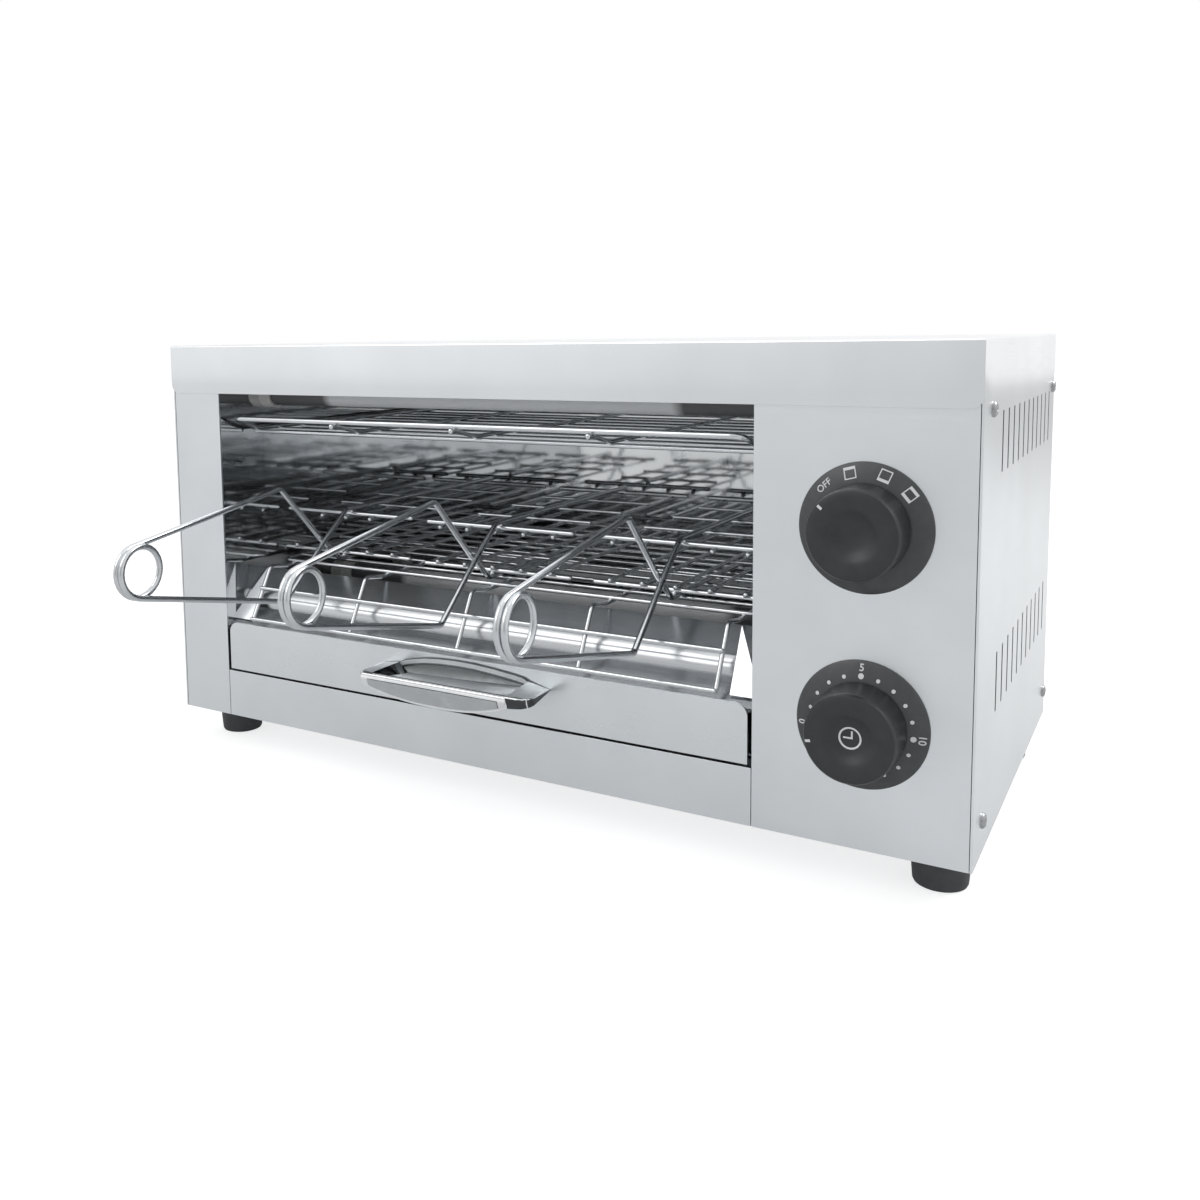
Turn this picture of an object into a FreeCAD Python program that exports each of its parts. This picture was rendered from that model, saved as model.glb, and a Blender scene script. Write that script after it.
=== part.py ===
"""Clamp toaster: a wide stainless cabinet with an open grilling chamber, a crumb tray below it,
two rotary controls at the right and three sprung wire tongs that hold the bread.

Millimetres, +Z up, the front faces -Y. The origin lies on the resting surface, in the middle of
the whole outline. Inside a piece, Y = 0 is the face of the front frame, Z = 0 the underside of
the cabinet and X = 0 its middle.
"""

import FreeCAD, Part

import math
import os
import re

import Sketcher

Vector = FreeCAD.Vector

# Driving sizes: alias, value and what it measures
SIZES = (
    ("cabinet_width", 440, "outside of the cover, left to right"),
    ("cabinet_depth", 228, "front frame to the rear edge of the cover"),
    ("cabinet_height", 213, "underside to top, without the feet"),
    ("cover_sheet", 1, "thickness of the outer cover"),
    ("frame_sheet", 1, "thickness of the front frame, base and rear panel"),
    ("wall_sheet", 0.8, "thickness of the chamber walls"),
    ("fit_gap", 0.3, "clearance between pieces that come apart"),
    ("run_gap", 0.05, "radial clearance of a shaft in its bush"),
    ("left_post_width", 35.5, "front frame left of the opening"),
    ("control_panel_width", 91.5, "front frame right of the opening"),
    ("lintel_height", 27, "front lip of the cover"),
    ("lintel_sheet", 1.2, "how far the lip stands in front of the frame"),
    ("lintel_corner", 5, "radius of the lip's lower corners"),
    ("frame_flange", 30, "side flange of the front frame"),
    ("rail_cover", 1.5, "how far the frame's top rail hides behind the lip"),
    ("base_front_height", 26.4, "front of the base below the tray"),
    ("base_lip", 12, "fold at the top of the base front"),
    ("base_flange", 10, "turned-up edge of the base"),
    ("rear_flange", 15, "side flange of the rear panel"),
    ("rear_recess", 1, "rear panel inside the cover's rear edge"),
    ("vent_width", 3, "one cooling slot"),
    ("vent_height", 26, "one cooling slot"),
    ("vent_count", 11, "slots in a row"),
    ("vent_front", 48, "first slot behind the front"),
    ("vent_rear", 22, "last slot in front of the rear edge"),
    ("vent_low", 53, "underside of the lower row"),
    ("vent_drop", 56.5, "underside of the upper row, from the top"),
    ("rear_vent_count", 12, "slots in the rear panel"),
    ("rear_vent_height", 40, "one slot in the rear panel"),
    ("screw_front", 22, "front column of cover screws"),
    ("screw_rear_inset", 7, "rear column of cover screws, from the rear edge"),
    ("screw_low", 14, "lower row of cover screws"),
    ("screw_top_inset", 28.5, "upper row of cover screws, from the top"),
    ("screw_radius", 1.6, "cover screw shank"),
    ("screw_length", 6, "cover screw shank"),
    ("screw_head_radius", 3.4, "cover screw head"),
    ("screw_head_height", 1.6, "cover screw head"),
    ("foot_height", 19, "rubber foot"),
    ("foot_top_radius", 13, "rubber foot at the cabinet"),
    ("foot_base_radius", 11.5, "rubber foot at the table"),
    ("foot_inset_x", 17, "foot from the side"),
    ("foot_inset_y", 28, "foot from the front and the rear"),
    ("foot_screw_radius", 2, "screw that holds a foot"),
    ("foot_screw_length", 10, "screw that holds a foot"),
    ("chamber_rear_gap", 6.5, "chamber's back wall in front of the rear panel"),
    ("chamber_drop", 13.8, "underside of the chamber's ceiling, from the top"),
    ("wall_setback", 0.5, "chamber wall behind the edge of the opening"),
    ("tube_radius", 6, "quartz heating tube"),
    ("tube_wall", 1.2, "quartz heating tube"),
    ("tube_count", 3, "quartz tubes above, and as many below"),
    ("upper_tube_drop", 15.8, "axis of the upper tubes below the ceiling"),
    ("upper_tube_front", 40, "axis of the first upper tube"),
    ("upper_tube_rear", 39.5, "axis of the last upper tube from the back wall"),
    ("lower_tube_height", 64, "axis of the lower tubes"),
    ("lower_tube_front", 45, "axis of the first lower tube"),
    ("lower_tube_rear", 44.5, "axis of the last lower tube from the back wall"),
    ("holder_neck", 7.4, "ceramic end holder inside the chamber"),
    ("holder_inside", 8, "how far its neck stands into the chamber"),
    ("holder_radius", 10, "ceramic end holder outside the chamber"),
    ("holder_length", 11, "ceramic end holder outside the chamber"),
    ("holder_floor", 3, "closed end of a ceramic holder"),
    ("shield_inset", 18, "heat shield from the chamber's right wall"),
    ("shield_drop", 23, "top of the heat shield, from the top"),
    ("guard_wire", 1.1, "radius of the thin guard wires"),
    ("frame_wire", 1.5, "radius of the thick wires"),
    ("weld_depth", 0.4, "how deep crossing wires sink into each other"),
    ("upper_guard_front", 5, "front rod of the upper guard"),
    ("upper_lip_drop", 14.4, "its raised front rod below the cover's lip"),
    ("upper_lip_rise", 6.6, "its raised front rod above its flat part"),
    ("upper_guard_bend", 24, "where the raised lip ends"),
    ("upper_guard_side", 6, "its side rods from the chamber's walls"),
    ("upper_cross_share", 0.5066, "its outer cross rods, as a share of half its width"),
    ("upper_rod_pitch", 20, "thin rod to thin rod"),
    ("lower_guard_height", 83.4, "height of the depthwise wires"),
    ("lower_guard_crest", 85.6, "height of the bend above the slope"),
    ("lower_guard_bend", 18.6, "where the sloping front ends"),
    ("lower_guard_toe", 2.9, "front end of the slope"),
    ("lower_guard_foot", 57.4, "height of the slope's front end"),
    ("lower_guard_side", 9, "its side rods from the chamber's walls"),
    ("lower_wire_share", 0.4686, "depthwise wire to wire, as a share of half its width"),
    ("lower_guard_settle", 32, "where its depthwise wires become level"),
    ("lower_rod_front", 39, "front rod of its flat part"),
    ("lower_rod_pitch", 16.7, "rod to rod"),
    ("guard_rear_gap", 13.5, "rear rod of both guards in front of the back wall"),
    ("rest_width", 10, "bracket that carries a guard"),
    ("rest_height", 2, "bracket that carries a guard"),
    ("deflector_front", 3, "lower edge of the deflector"),
    ("deflector_low", 52, "lower edge of the deflector"),
    ("deflector_slope", 35, "rise of its two flat parts, in degrees"),
    ("deflector_lower_run", 13, "depth of its lower flat part"),
    ("deflector_upper_run", 15, "depth of its upper flat part"),
    ("deflector_step_run", 4.2, "depth of the rounded step between them"),
    ("deflector_step_rise", 8.9, "height of the rounded step"),
    ("deflector_bulge", 1.2, "how far the step bulges"),
    ("cheek_side", 13, "width of a cheek at its lower edge"),
    ("cheek_height", 32, "cheek along the guard's slope"),
    ("cheek_gap", 2.6, "cheek behind the guard's wires"),
    ("cheek_foot", 3, "where a cheek meets the chamber wall"),
    ("tray_side_gap", 2, "tray front from the posts"),
    ("tray_gap", 1.3, "tray front above the base front"),
    ("tray_front_height", 27.3, "tray front"),
    ("tray_front_sheet", 1.2, "tray front"),
    ("tray_front_corner", 6, "radius of its upper corners"),
    ("tray_sheet", 0.8, "tray pan"),
    ("tray_inset", 1.5, "pan inside the ends of its front"),
    ("tray_rear_gap", 15.3, "tray pan in front of the chamber's back wall"),
    ("tray_wall", 20, "tray pan"),
    ("runner_width", 9, "tray runner"),
    ("runner_height", 11, "tray runner"),
    ("runner_sheet", 1, "tray runner"),
    ("handle_width", 99, "tray handle"),
    ("handle_reach", 22.5, "tray handle in front of the tray"),
    ("handle_sheet", 1.4, "tray handle"),
    ("handle_shift", 6, "tray handle to the right of the tray's middle"),
    ("handle_level", 45, "underside of the handle's web"),
    ("handle_arch", 8.6, "rise of the handle's back plate"),
    ("handle_arch_end", 4, "rise of the back plate at its ends"),
    ("handle_arch_width", 79, "width of the back plate"),
    ("handle_lip", 11.4, "drop of the front lip in the middle"),
    ("handle_lip_end", 5, "drop of the front lip at its ends"),
    ("handle_screw_radius", 1.5, "screw that holds the handle"),
    ("handle_screw_pitch", 50, "screw to screw"),
    ("control_inset", 44.2, "control axis from the right side"),
    ("selector_drop", 76.5, "axis of the element selector, from the top"),
    ("timer_height", 54.2, "axis of the timer"),
    ("bezel_radius", 27.3, "dial plate"),
    ("bezel_edge", 0.8, "rim of the dial plate, below its slope"),
    ("bezel_height", 3.8, "dial plate where it meets the knob"),
    ("knob_radius", 19, "knob at its foot"),
    ("knob_front_radius", 18.6, "knob at its front edge"),
    ("knob_length", 17.3, "knob"),
    ("knob_gap", 0.8, "knob in front of the dial plate"),
    ("knob_dish", 2.6, "hollow of the knob's face"),
    ("knob_shell", 2.5, "wall of the knob"),
    ("knob_hub_radius", 6, "hub of the knob"),
    ("shaft_radius", 3, "control shaft"),
    ("bush_radius", 5, "threaded bush of a control"),
    ("bush_reach", 2.6, "bush in front of the panel"),
    ("nut_radius", 8, "nut on the bush, across corners"),
    ("nut_height", 2.2, "nut on the bush"),
    ("selector_half", 17, "half the selector's housing"),
    ("selector_depth", 32, "selector's housing"),
    ("timer_half", 21, "half the timer's housing"),
    ("timer_depth", 44, "timer's housing"),
    ("shaft_depth", 18, "how far a shaft reaches into its housing"),
    ("gland_height", 32, "cable gland"),
    ("gland_inset", 40, "cable gland from the right side"),
    ("gland_radius", 8, "cable gland in the panel"),
    ("gland_flange", 11, "cable gland's collar"),
    ("gland_reach", 4, "cable gland behind the rear panel"),
    ("gland_bore", 4, "cable gland"),
    ("terminal_width", 36, "terminal block"),
    ("terminal_depth", 16, "terminal block"),
    ("terminal_height", 15, "terminal block"),
    ("clamp_share", 0.3344, "tong to tong, as a share of the chamber's width"),
    ("clamp_shift", -2, "middle tong from the middle of the chamber"),
    ("clamp_push", 4, "how much further in the left tong lies"),
    ("clamp_wire", 1.5, "radius of the tong wire"),
    ("coil_front", 108, "coil axis in front of the frame"),
    ("coil_height", 107.7, "coil axis"),
    ("coil_radius", 12.2, "middle line of the coil"),
    ("coil_pitch", 3.4, "turn to turn"),
    ("coil_turns", 1, "whole turns between the two arms"),
    ("coil_corners", 10, "straight runs that a turn of the coil is bent from"),
    ("coil_bend", 0.9, "share of the coil's radius that each of their corners has"),
    ("peak_reach", 100, "coil to the bend of the upper arm"),
    ("peak_rise", 27.3, "coil to the bend of the upper arm"),
    ("corner_reach", 97.5, "coil to the bend of the lower arm"),
    ("corner_drop", 34.2, "coil to the bend of the lower arm"),
    ("cross_reach", 132, "coil to where the arms cross"),
    ("cross_drop", 5.4, "coil to where the arms cross"),
    ("cross_gap", 0.6, "clearance between the crossing arms"),
    ("lower_spine_reach", 149, "coil to the start of the lower spine"),
    ("upper_spine_reach", 151.5, "coil to the start of the upper spine"),
    ("arm_bend", 4, "bend radius of the arms"),
    ("jaw_gap", 22.8, "upper front bar above the lower front bar"),
    ("jaw_side_gap", 15, "jaw to the next jaw"),
    ("jaw_rear_gap", 21.5, "rear bar in front of the chamber's back wall"),
    ("lower_jaw_front", 153, "coil to the lower front bar"),
    ("upper_jaw_front", 156, "coil to the upper front bar"),
    ("jaw_wire", 1, "radius of the jaws' thin wires"),
    ("jaw_wire_inset", 9.6, "outer lengthwise wires from the ends of the bars"),
    ("jaw_wire_count", 5, "lengthwise wires"),
    ("jaw_overhang", 3, "lengthwise wire past its end bars"),
    ("jaw_rib_count", 3, "thin cross wires between the end bars"),
)

# Places worked out from the sizes above
PLACES = (
    ("half_width", "cabinet_width / 2"),
    ("front_reach", "coil_front + coil_radius + clamp_wire"),
    ("rear_reach", "cabinet_depth - rear_recess + gland_reach"),
    ("front_plane", "(front_reach - rear_reach) / 2"),
    ("opening_left", "left_post_width - half_width"),
    ("opening_right", "half_width - control_panel_width"),
    ("chamber_middle", "(opening_left + opening_right) / 2"),
    ("handle_middle", "chamber_middle + handle_shift"),
    ("frame_half", "half_width - cover_sheet - fit_gap"),
    ("base_half", "frame_half - frame_sheet - fit_gap"),
    ("lintel_bottom", "cabinet_height - lintel_height"),
    ("rail_bottom", "lintel_bottom + rail_cover"),
    ("frame_top", "cabinet_height - cover_sheet - fit_gap"),
    ("rear_face", "cabinet_depth - rear_recess"),
    ("rear_inside", "rear_face - frame_sheet"),
    ("base_rear", "rear_inside - fit_gap"),
    ("screw_rear", "cabinet_depth - screw_rear_inset"),
    ("screw_high", "cabinet_height - screw_top_inset"),
    ("vent_pitch", "(cabinet_depth - vent_front - vent_rear) / (vent_count - 1)"),
    ("vent_high", "cabinet_height - vent_drop"),
    ("wall_left", "opening_left - wall_setback"),
    ("wall_right", "opening_right + wall_setback"),
    ("chamber_half", "(wall_right - wall_left) / 2"),
    ("chamber_depth", "rear_inside - chamber_rear_gap"),
    ("chamber_top", "cabinet_height - chamber_drop"),
    ("upper_tube_height", "chamber_top - upper_tube_drop"),
    ("upper_tube_pitch", "(chamber_depth - upper_tube_front - upper_tube_rear) / (tube_count - 1)"),
    ("lower_tube_pitch", "(chamber_depth - lower_tube_front - lower_tube_rear) / (tube_count - 1)"),
    ("shield_height", "cabinet_height - shield_drop"),
    ("upper_guard_lip", "lintel_bottom - upper_lip_drop"),
    ("upper_guard_height", "upper_guard_lip - upper_lip_rise"),
    ("upper_guard_half", "chamber_half - upper_guard_side"),
    ("upper_guard_pitch", "upper_guard_half * upper_cross_share"),
    ("lower_guard_half", "chamber_half - lower_guard_side"),
    ("lower_guard_pitch", "lower_guard_half * lower_wire_share"),
    ("guard_rear", "chamber_depth - guard_rear_gap"),
    ("chamber_front", "frame_sheet + fit_gap"),
    ("tray_bottom", "base_front_height + tray_gap"),
    ("tray_left", "opening_left + tray_side_gap"),
    ("tray_right", "opening_right - tray_side_gap"),
    ("pan_bottom", "tray_bottom + tray_sheet"),
    ("tray_depth", "chamber_depth - tray_front_sheet - tray_rear_gap"),
    ("control_middle", "half_width - control_inset"),
    ("selector_height", "cabinet_height - selector_drop"),
    ("gland_middle", "half_width - gland_inset"),
    ("lower_rod_height", "lower_guard_height + 2 * guard_wire - weld_depth"),
    ("lower_spine_height", "lower_rod_height + guard_wire + fit_gap + clamp_wire"),
    ("lower_bar_height", "lower_spine_height + 2 * clamp_wire + run_gap"),
    ("upper_bar_height", "lower_bar_height + jaw_gap"),
    ("upper_spine_height", "upper_bar_height + 2 * clamp_wire + run_gap"),
    ("clamp_pitch", "2 * chamber_half * clamp_share"),
    ("jaw_half", "(clamp_pitch - jaw_side_gap) / 2"),
    ("jaw_length", "chamber_depth + coil_front - lower_jaw_front - jaw_rear_gap"),
    ("jaw_wire_pitch", "2 * (jaw_half - jaw_wire_inset) / (jaw_wire_count - 1)"),
    ("jaw_wire_step", "clamp_wire + jaw_wire - weld_depth"),
    ("cross_half", "clamp_wire + cross_gap / 2"),
)

document = FreeCAD.newDocument("clamp_toaster")
sheet = document.addObject("Spreadsheet::Sheet", "Sizes")
places = document.addObject("App::VarSet", "Places")
size_names = {alias for alias, _, _ in SIZES}
place_names = {name for name, _ in PLACES}
nodes = []


def bound(text):
    """Puts the sheet's or the place list's name before every known word of an expression."""
    def owner(match):
        word = match.group(0)
        if word in size_names:
            return "Sizes." + word
        if word in place_names:
            return "Places." + word
        return word
    return re.sub(r"[A-Za-z_]\w*", owner, str(text))


def fill_sheet():
    """Writes the driving sizes to the sheet and binds the derived places to them."""
    for row, (alias, number, meaning) in enumerate(SIZES, start=1):
        sheet.set(f"A{row}", alias)
        sheet.set(f"B{row}", str(number))
        sheet.set(f"C{row}", meaning)
        sheet.setAlias(f"B{row}", alias)
    document.recompute()
    for name, text in PLACES:
        places.addProperty("App::PropertyFloat", name, "Places", text)
        places.setExpression(name, bound(text))
        document.recompute()


def size(name):
    """A size from the sheet or a place worked out from it."""
    return float(getattr(sheet if name in size_names else places, name))


def place(thing, x="0", y="0", z="0"):
    """Binds a sub-part's placement: the offset within the cabinet plus the cabinet's own place."""
    thing.setExpression("Placement.Base.x", bound(x))
    thing.setExpression("Placement.Base.y", bound(f"front_plane + ({y})"))
    thing.setExpression("Placement.Base.z", bound(f"foot_height + ({z})"))


def new_body(label, x="0", y="0", z="0"):
    """A sub-part made of sketched features, at its own place."""
    body = document.addObject("PartDesign::Body", label)
    body.Label = label
    place(body, x, y, z)
    nodes.append(body)
    return body


def shaped(label, shape, x=0.0, y=0.0, z=0.0):
    """A sub-part whose shape comes from sweeps or copies that a sketched body can't hold."""
    feature = document.addObject("Part::Feature", label)
    feature.Label = label
    feature.Shape = shape
    base = Vector(x, size("front_plane") + y, size("foot_height") + z)
    feature.Placement = FreeCAD.Placement(base, FreeCAD.Rotation())
    nodes.append(feature)
    return feature


def origin_part(body, role):
    """One of the body's own origin planes or axes."""
    return next(part for part in body.Origin.OriginFeatures if part.Role == role)


# A sketch plane's normal, as a sign along its world axis
PLANE_SIGN = {"XY": 1, "XZ": -1, "YZ": 1}


def new_sketch(body, plane, level):
    """An empty sketch parallel to an origin plane, at a level along that plane's world axis."""
    sketch = body.newObject("Sketcher::SketchObject", "Sketch")
    sketch.AttachmentSupport = [(origin_part(body, plane + "_Plane"), "")]
    sketch.MapMode = "FlatFace"
    sign = "" if PLANE_SIGN[plane] > 0 else "-"
    sketch.setExpression("AttachmentOffset.Base.z", bound(f"{sign}({level})"))
    return sketch


def pin_point(sketch, geometry, end, x, y):
    """Fixes a point of a sketch to an expression for each coordinate."""
    for kind, text in (("DistanceX", x), ("DistanceY", y)):
        index = sketch.addConstraint(Sketcher.Constraint(kind, -1, 1, geometry, end, 1.0))
        sketch.setExpression(f"Constraints[{index}]", bound(text))


def add_outline(sketch, points):
    """A closed outline of straight lines through points given as pairs of expressions."""
    count = len(points)
    first = sketch.GeometryCount
    angles = [math.tau * i / count for i in range(count)]
    ring = [Vector(math.cos(angle), math.sin(angle), 0) for angle in angles]
    for index in range(count):
        sketch.addGeometry(Part.LineSegment(ring[index], ring[(index + 1) % count]))
    for index in range(count):
        after = first + (index + 1) % count
        sketch.addConstraint(Sketcher.Constraint("Coincident", first + index, 2, after, 1))
    for index, (x, y) in enumerate(points):
        pin_point(sketch, first + index, 1, x, y)


def add_circle(sketch, x, y, radius):
    """A circle whose middle and radius are expressions."""
    index = sketch.addGeometry(Part.Circle(Vector(0, 0, 0), Vector(0, 0, 1), 1.0))
    pin_point(sketch, index, 3, x, y)
    rule = sketch.addConstraint(Sketcher.Constraint("Radius", index, 1.0))
    sketch.setExpression(f"Constraints[{rule}]", bound(radius))


def rectangle(low_x, high_x, low_y, high_y):
    """The corners of a rectangle, as expressions."""
    return [(low_x, low_y), (high_x, low_y), (high_x, high_y), (low_x, high_y)]


def pad(body, sketch, plane, length):
    """Adds material from the sketch towards the positive world axis."""
    feature = body.newObject("PartDesign::Pad", "Pad")
    feature.Profile = sketch
    feature.Reversed = PLANE_SIGN[plane] < 0
    feature.setExpression("Length", bound(length))
    return feature


def pocket(body, sketch, plane, length):
    """Takes material away from the sketch towards the positive world axis."""
    feature = body.newObject("PartDesign::Pocket", "Pocket")
    feature.Profile = sketch
    feature.Reversed = PLANE_SIGN[plane] > 0
    feature.setExpression("Length", bound(length))
    return feature


def plate(body, x, y, z):
    """A rectangular plate: each argument is a pair of expressions, low and high."""
    sketch = new_sketch(body, "XY", z[0])
    add_outline(sketch, rectangle(x[0], x[1], y[0], y[1]))
    return pad(body, sketch, "XY", f"({z[1]}) - ({z[0]})")


def bar(body, plane, level, length, a, b, radius):
    """A round bar along a world axis, with its middle at the sketch coordinates a and b."""
    sketch = new_sketch(body, plane, level)
    add_circle(sketch, a, b, radius)
    return pad(body, sketch, plane, length)


def holes(body, plane, level, length, circles):
    """Round holes along a world axis; each circle is its middle and its radius."""
    sketch = new_sketch(body, plane, level)
    for a, b, radius in circles:
        add_circle(sketch, a, b, radius)
    return pocket(body, sketch, plane, length)


def repeat(body, feature, axis, length, count):
    """Repeats a feature along an origin axis of its body."""
    pattern = body.newObject("PartDesign::LinearPattern", "Pattern")
    pattern.Originals = [feature]
    pattern.Direction = (origin_part(body, axis + "_Axis"), [""])
    pattern.setExpression("Length", bound(length))
    pattern.setExpression("Occurrences", bound(count))
    body.Tip = pattern
    return pattern


def round_edges(body, feature, radius, chosen):
    """Rounds the edges of a feature that the test picks by their middle point."""
    document.recompute()
    names = []
    for index, edge in enumerate(feature.Shape.Edges, start=1):
        if chosen(edge):
            names.append(f"Edge{index}")
    fillet = body.newObject("PartDesign::Fillet", "Fillet")
    fillet.Base = (feature, names)
    fillet.setExpression("Radius", bound(radius))
    return fillet


def cylinder(radius, start, direction, length):
    """A round solid from a start point along a direction."""
    return Part.makeCylinder(radius, length, start, direction)


def rounded_path(points, radii):
    """Edges of straight runs joined by tangent arcs, with a radius for each inner point."""
    edges = []
    start = points[0]
    for before, corner, after, radius in zip(points, points[1:], points[2:], radii):
        into = (corner - before).normalize()
        out = (after - corner).normalize()
        turn = into.getAngle(out)
        trim = radius * math.tan(turn / 2)
        first = corner - into * trim
        last = corner + out * trim
        inward = (out - into).normalize()
        middle = corner + inward * (radius / math.cos(turn / 2) - radius)
        edges.append(Part.LineSegment(start, first).toShape())
        edges.append(Part.Arc(first, middle, last).toShape())
        start = last
    edges.append(Part.LineSegment(start, points[-1]).toShape())
    return edges


def wire_rod(points, radius, bends):
    """A round wire along a path of straight runs; bends is one radius or one for each corner."""
    radii = bends if isinstance(bends, list) else [bends] * len(points)
    edges = rounded_path(points, radii)
    ring = Part.Wire(Part.Circle(points[0], points[1] - points[0], radius).toShape())
    return Part.Wire(edges).makePipeShell([ring], True, False)


def joined(shapes):
    """One solid from shapes that sink into each other."""
    return shapes[0].multiFuse(shapes[1:]).removeSplitter()


# Cabinet
def make_cover():
    """Outer cover: top, both sides and the front lip, with cooling slots and screw holes."""
    body = new_body("outer_cover")
    plate(body, ("-half_width", "half_width"), ("-lintel_sheet", "cabinet_depth"),
          ("cabinet_height - cover_sheet", "cabinet_height"))
    lip = plate(body, ("-half_width", "half_width"), ("-lintel_sheet", "0"),
                ("lintel_bottom", "cabinet_height"))

    def lower_corner(edge):
        middle = edge.CenterOfMass
        low = abs(middle.z - size("lintel_bottom")) < 0.01
        return low and abs(abs(middle.x) - size("half_width")) < 0.01 and edge.BoundBox.YLength > 0.5
    round_edges(body, lip, "lintel_corner", lower_corner)
    for low, high in (("-half_width", "cover_sheet - half_width"),
                      ("half_width - cover_sheet", "half_width")):
        plate(body, (low, high), ("0", "cabinet_depth"), ("0", "cabinet_height"))
    for level in ("vent_low", "vent_high"):
        sketch = new_sketch(body, "YZ", "-half_width")
        corners = rectangle("vent_front - vent_width / 2", "vent_front + vent_width / 2",
                            level, f"{level} + vent_height")
        add_outline(sketch, corners)
        slot = pocket(body, sketch, "YZ", "cabinet_width")
        repeat(body, slot, "Y", "vent_pitch * (vent_count - 1)", "vent_count")
    circles = [(y, z, "screw_radius + fit_gap")
               for y in ("screw_front", "screw_rear") for z in ("screw_low", "screw_high")]
    holes(body, "YZ", "-half_width", "cabinet_width", circles)


def make_front_frame():
    """Front frame: left post, control panel and the top rail behind the cover's lip."""
    body = new_body("front_frame")
    skin = ("0", "frame_sheet")
    tall = ("0", "frame_top")
    plate(body, ("-frame_half", "opening_left"), skin, tall)
    plate(body, ("opening_right", "frame_half"), skin, tall)
    plate(body, ("opening_left - frame_sheet", "opening_right + frame_sheet"), skin,
          ("rail_bottom", "frame_top"))
    flange = ("frame_sheet + fit_gap", "frame_top")
    plate(body, ("-frame_half", "frame_sheet - frame_half"), ("0", "frame_flange"), flange)
    plate(body, ("frame_half - frame_sheet", "frame_half"), ("0", "frame_flange"), flange)
    holes(body, "XZ", "0", "frame_sheet",
          [("control_middle", "selector_height", "bush_radius + fit_gap"),
           ("control_middle", "timer_height", "bush_radius + fit_gap")])
    holes(body, "YZ", "-half_width", "cabinet_width",
          [("screw_front", "screw_low", "screw_radius + run_gap"),
           ("screw_front", "screw_high", "screw_radius + run_gap")])


def make_base():
    """Base pan: floor, turned-up edges and the front strip below the tray."""
    body = new_body("base_pan")
    inside = ("opening_left + fit_gap", "opening_right - fit_gap")
    behind = "frame_sheet + fit_gap"
    plate(body, ("-base_half", "base_half"), (behind, "base_rear"), ("0", "frame_sheet"))
    plate(body, inside, ("0", f"{behind} + frame_sheet"), ("0", "frame_sheet"))
    plate(body, inside, ("0", "frame_sheet"), ("0", "base_front_height"))
    plate(body, inside, ("0", "base_lip"), ("base_front_height - frame_sheet", "base_front_height"))
    for low, high in (("-base_half", "frame_sheet - base_half"), ("base_half - frame_sheet", "base_half")):
        plate(body, (low, high), ("frame_flange + frame_sheet", "base_rear"), ("0", "base_flange"))
    plate(body, ("-base_half", "base_half"), ("base_rear - frame_sheet", "base_rear"), ("0", "base_flange"))
    spots = [(f"{side} * (half_width - foot_inset_x)", y, "foot_screw_radius + run_gap")
             for side in (-1, 1) for y in ("foot_inset_y", "cabinet_depth - foot_inset_y")]
    holes(body, "XY", "0", "frame_sheet", spots)


def make_rear_panel():
    """Rear panel with its side flanges, a row of slots and the hole for the gland."""
    body = new_body("rear_panel")
    tall = ("frame_sheet + fit_gap", "frame_top")
    plate(body, ("-frame_half", "frame_half"), ("rear_inside", "rear_face"), tall)
    start = "rear_face - rear_flange"
    plate(body, ("-frame_half", "frame_sheet - frame_half"), (start, "rear_face"), tall)
    plate(body, ("frame_half - frame_sheet", "frame_half"), (start, "rear_face"), tall)
    sketch = new_sketch(body, "XZ", "rear_inside")
    half_row = "vent_pitch * (rear_vent_count - 1) / 2"
    low = "cabinet_height * 0.6"
    add_outline(sketch, rectangle(f"-{half_row} - vent_width / 2", f"-{half_row} + vent_width / 2",
                                  low, f"{low} + rear_vent_height"))
    slot = pocket(body, sketch, "XZ", "frame_sheet")
    repeat(body, slot, "X", "vent_pitch * (rear_vent_count - 1)", "rear_vent_count")
    holes(body, "XZ", "rear_inside", "frame_sheet",
          [("gland_middle", "gland_height", "gland_radius + fit_gap")])
    holes(body, "YZ", "-half_width", "cabinet_width",
          [("screw_rear", "screw_low", "screw_radius + run_gap"),
           ("screw_rear", "screw_high", "screw_radius + run_gap")])


def make_cover_screws():
    """Eight domed screws that hold the cover, four in each side."""
    screws = []
    for side in (-1, 1):
        out = Vector(side, 0, 0)
        for y in (size("screw_front"), size("screw_rear")):
            for z in (size("screw_low"), size("screw_high")):
                seat = Vector(side * size("half_width"), y, z)
                shank = cylinder(size("screw_radius"), seat, -out, size("screw_length"))
                head = Part.makeCone(size("screw_head_radius"), size("screw_head_radius") * 0.55,
                                     size("screw_head_height"), seat, out)
                screws.append(shank.fuse(head).removeSplitter())
    shaped("cover_screws", Part.makeCompound(screws))


def foot_spots():
    """Where the four feet stand under the base."""
    across = size("half_width") - size("foot_inset_x")
    along = size("foot_inset_y")
    return [Vector(x, y, 0) for x in (-across, across) for y in (along, size("cabinet_depth") - along)]


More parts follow.
